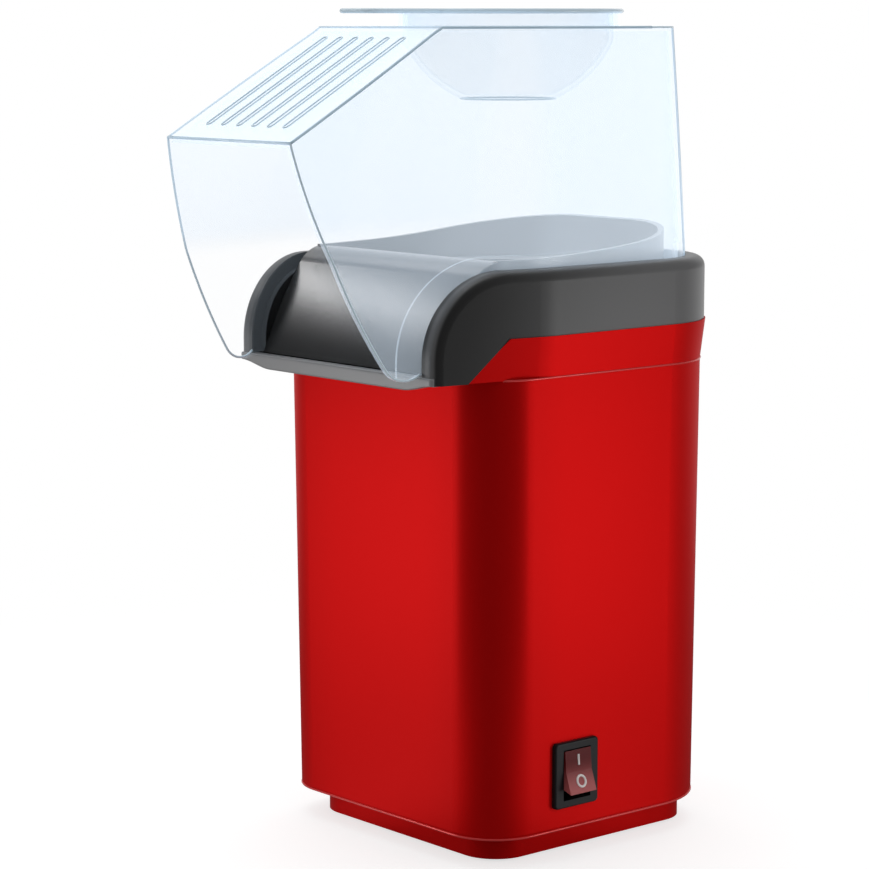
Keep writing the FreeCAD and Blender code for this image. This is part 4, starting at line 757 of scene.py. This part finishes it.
def light_world():
    """Pale surroundings: white for the eye, a half fill on the object, and for gloss white behind the object
    and dim in front of it."""
    fill, dim = 0.5, 0.07
    surroundings = bpy.data.worlds.new("surroundings")
    bpy.context.scene.world = surroundings
    surroundings.use_nodes = True
    tree = surroundings.node_tree
    plain = tree.nodes["Background"]
    plain.inputs["Color"].default_value = WHITE
    plain.inputs["Strength"].default_value = fill
    white = glow(tree, "ShaderNodeBackground", 1.0)
    place = tree.nodes.new("ShaderNodeTexCoord")
    behind = reach_along(tree, place.outputs["Generated"], BEHIND)
    sheen = tree.nodes.new("ShaderNodeBackground")
    tree.links.new(ramp(tree, behind, 0.5, 1.0, dim, 1.0), sheen.inputs["Strength"])
    camera_ray, shiny = ray_kinds(tree)
    lit = mixed(tree, shiny, plain.outputs[0], sheen.outputs[0])
    tree.links.new(mixed(tree, camera_ray, lit, white), tree.nodes["World Output"].inputs["Surface"])


def floor_band(tree, point, start, way, turn):
    """Bright strip of floor that runs out from a point: full near its line, fading to both sides and behind.
    Distances are in metres."""
    run_in = 0.05
    far_fade, far_level = (-0.07, -0.005), 0.2
    near_fade, near_level = (0.07, 0.14), 0.08

    def along(direction):
        """How far the point lies from the strip's start in a level direction."""
        offset = start[0] * direction[0] + start[1] * direction[1]
        return maths(tree, "SUBTRACT", reach_along(tree, point, (*direction, 0.0)), offset)

    aside = along((-way[1] * turn, way[0] * turn))
    out = ramp(tree, along(way), 0.0, run_in, 0.0, 1.0)
    away = ramp(tree, aside, *far_fade, far_level, 1.0)
    nearer = ramp(tree, aside, *near_fade, 1.0, near_level)
    return product(tree, out, away, nearer)


def floor_material():
    """Plain pale floor: it takes the object's shadow close by and fades into the white surroundings. For
    gloss it is dim, with a bright strip beside each of the two faces in view and white behind the object."""
    grey, camera_glow = 0.45, 0.7
    fade_start, fade_stop = 0.12, 0.45
    material = bpy.data.materials.new("floor")
    material.use_nodes = True
    tree = material.node_tree
    shader = tree.nodes["Principled BSDF"]
    shader.inputs["Base Color"].default_value = (grey, grey, grey, 1)
    shader.inputs["Roughness"].default_value = 0.9
    shader.inputs["Specular IOR Level"].default_value = 0.0
    shader.inputs["Emission Color"].default_value = WHITE
    camera_ray, shiny = ray_kinds(tree)
    tree.links.new(maths(tree, "MULTIPLY", camera_ray, camera_glow), shader.inputs["Emission Strength"])
    point = tree.nodes.new("ShaderNodeTexCoord").outputs["Object"]
    distance = tree.nodes.new("ShaderNodeVectorMath")
    distance.operation = "LENGTH"
    tree.links.new(point, distance.inputs[0])
    left = floor_band(tree, point, (0.015, AXIS_Y - 0.061), (-0.76, -0.65), 1)
    right = floor_band(tree, point, (0.061, AXIS_Y - 0.022), (0.727, 0.687), -1)
    behind = ramp(tree, reach_along(tree, point, BEHIND), 0.2, 0.7, 0.1, 1.0)
    strength = maths(tree, "MAXIMUM", maths(tree, "MAXIMUM", left, right), behind)
    bright = glow(tree, "ShaderNodeEmission", strength)
    white = glow(tree, "ShaderNodeEmission", 1.0)
    fade = ramp(tree, distance.outputs["Value"], fade_start, fade_stop, 0.0, 1.0)
    seen = mixed(tree, fade, shader.outputs[0], white)
    gloss = mixed(tree, shiny, shader.outputs[0], bright)
    tree.links.new(mixed(tree, camera_ray, gloss, seen), tree.nodes["Material Output"].inputs["Surface"])
    return material


def lay_floor():
    """One large level square under the object."""
    side = 6.0
    mesh = bpy.data.meshes.new("floor")
    corners = [(-side, -side, 0), (side, -side, 0), (side, side, 0), (-side, side, 0)]
    mesh.from_pydata(corners, [], [(0, 1, 2, 3)])
    mesh.materials.append(floor_material())
    floor = bpy.data.objects.new("floor", mesh)
    bpy.context.scene.collection.objects.link(floor)


paint_red_corner_shade()
paint_collar_shade_and_highlight()
paint_liner_light_shade_and_polish()
paint_nodes()
dress_hood()
dress_cup()
dress_housing()
dress_spout()
dress_rocker()
light_world()
lay_floor()
hang_lamps()
bpy.context.scene.view_settings.view_transform = "Standard"
place_camera()
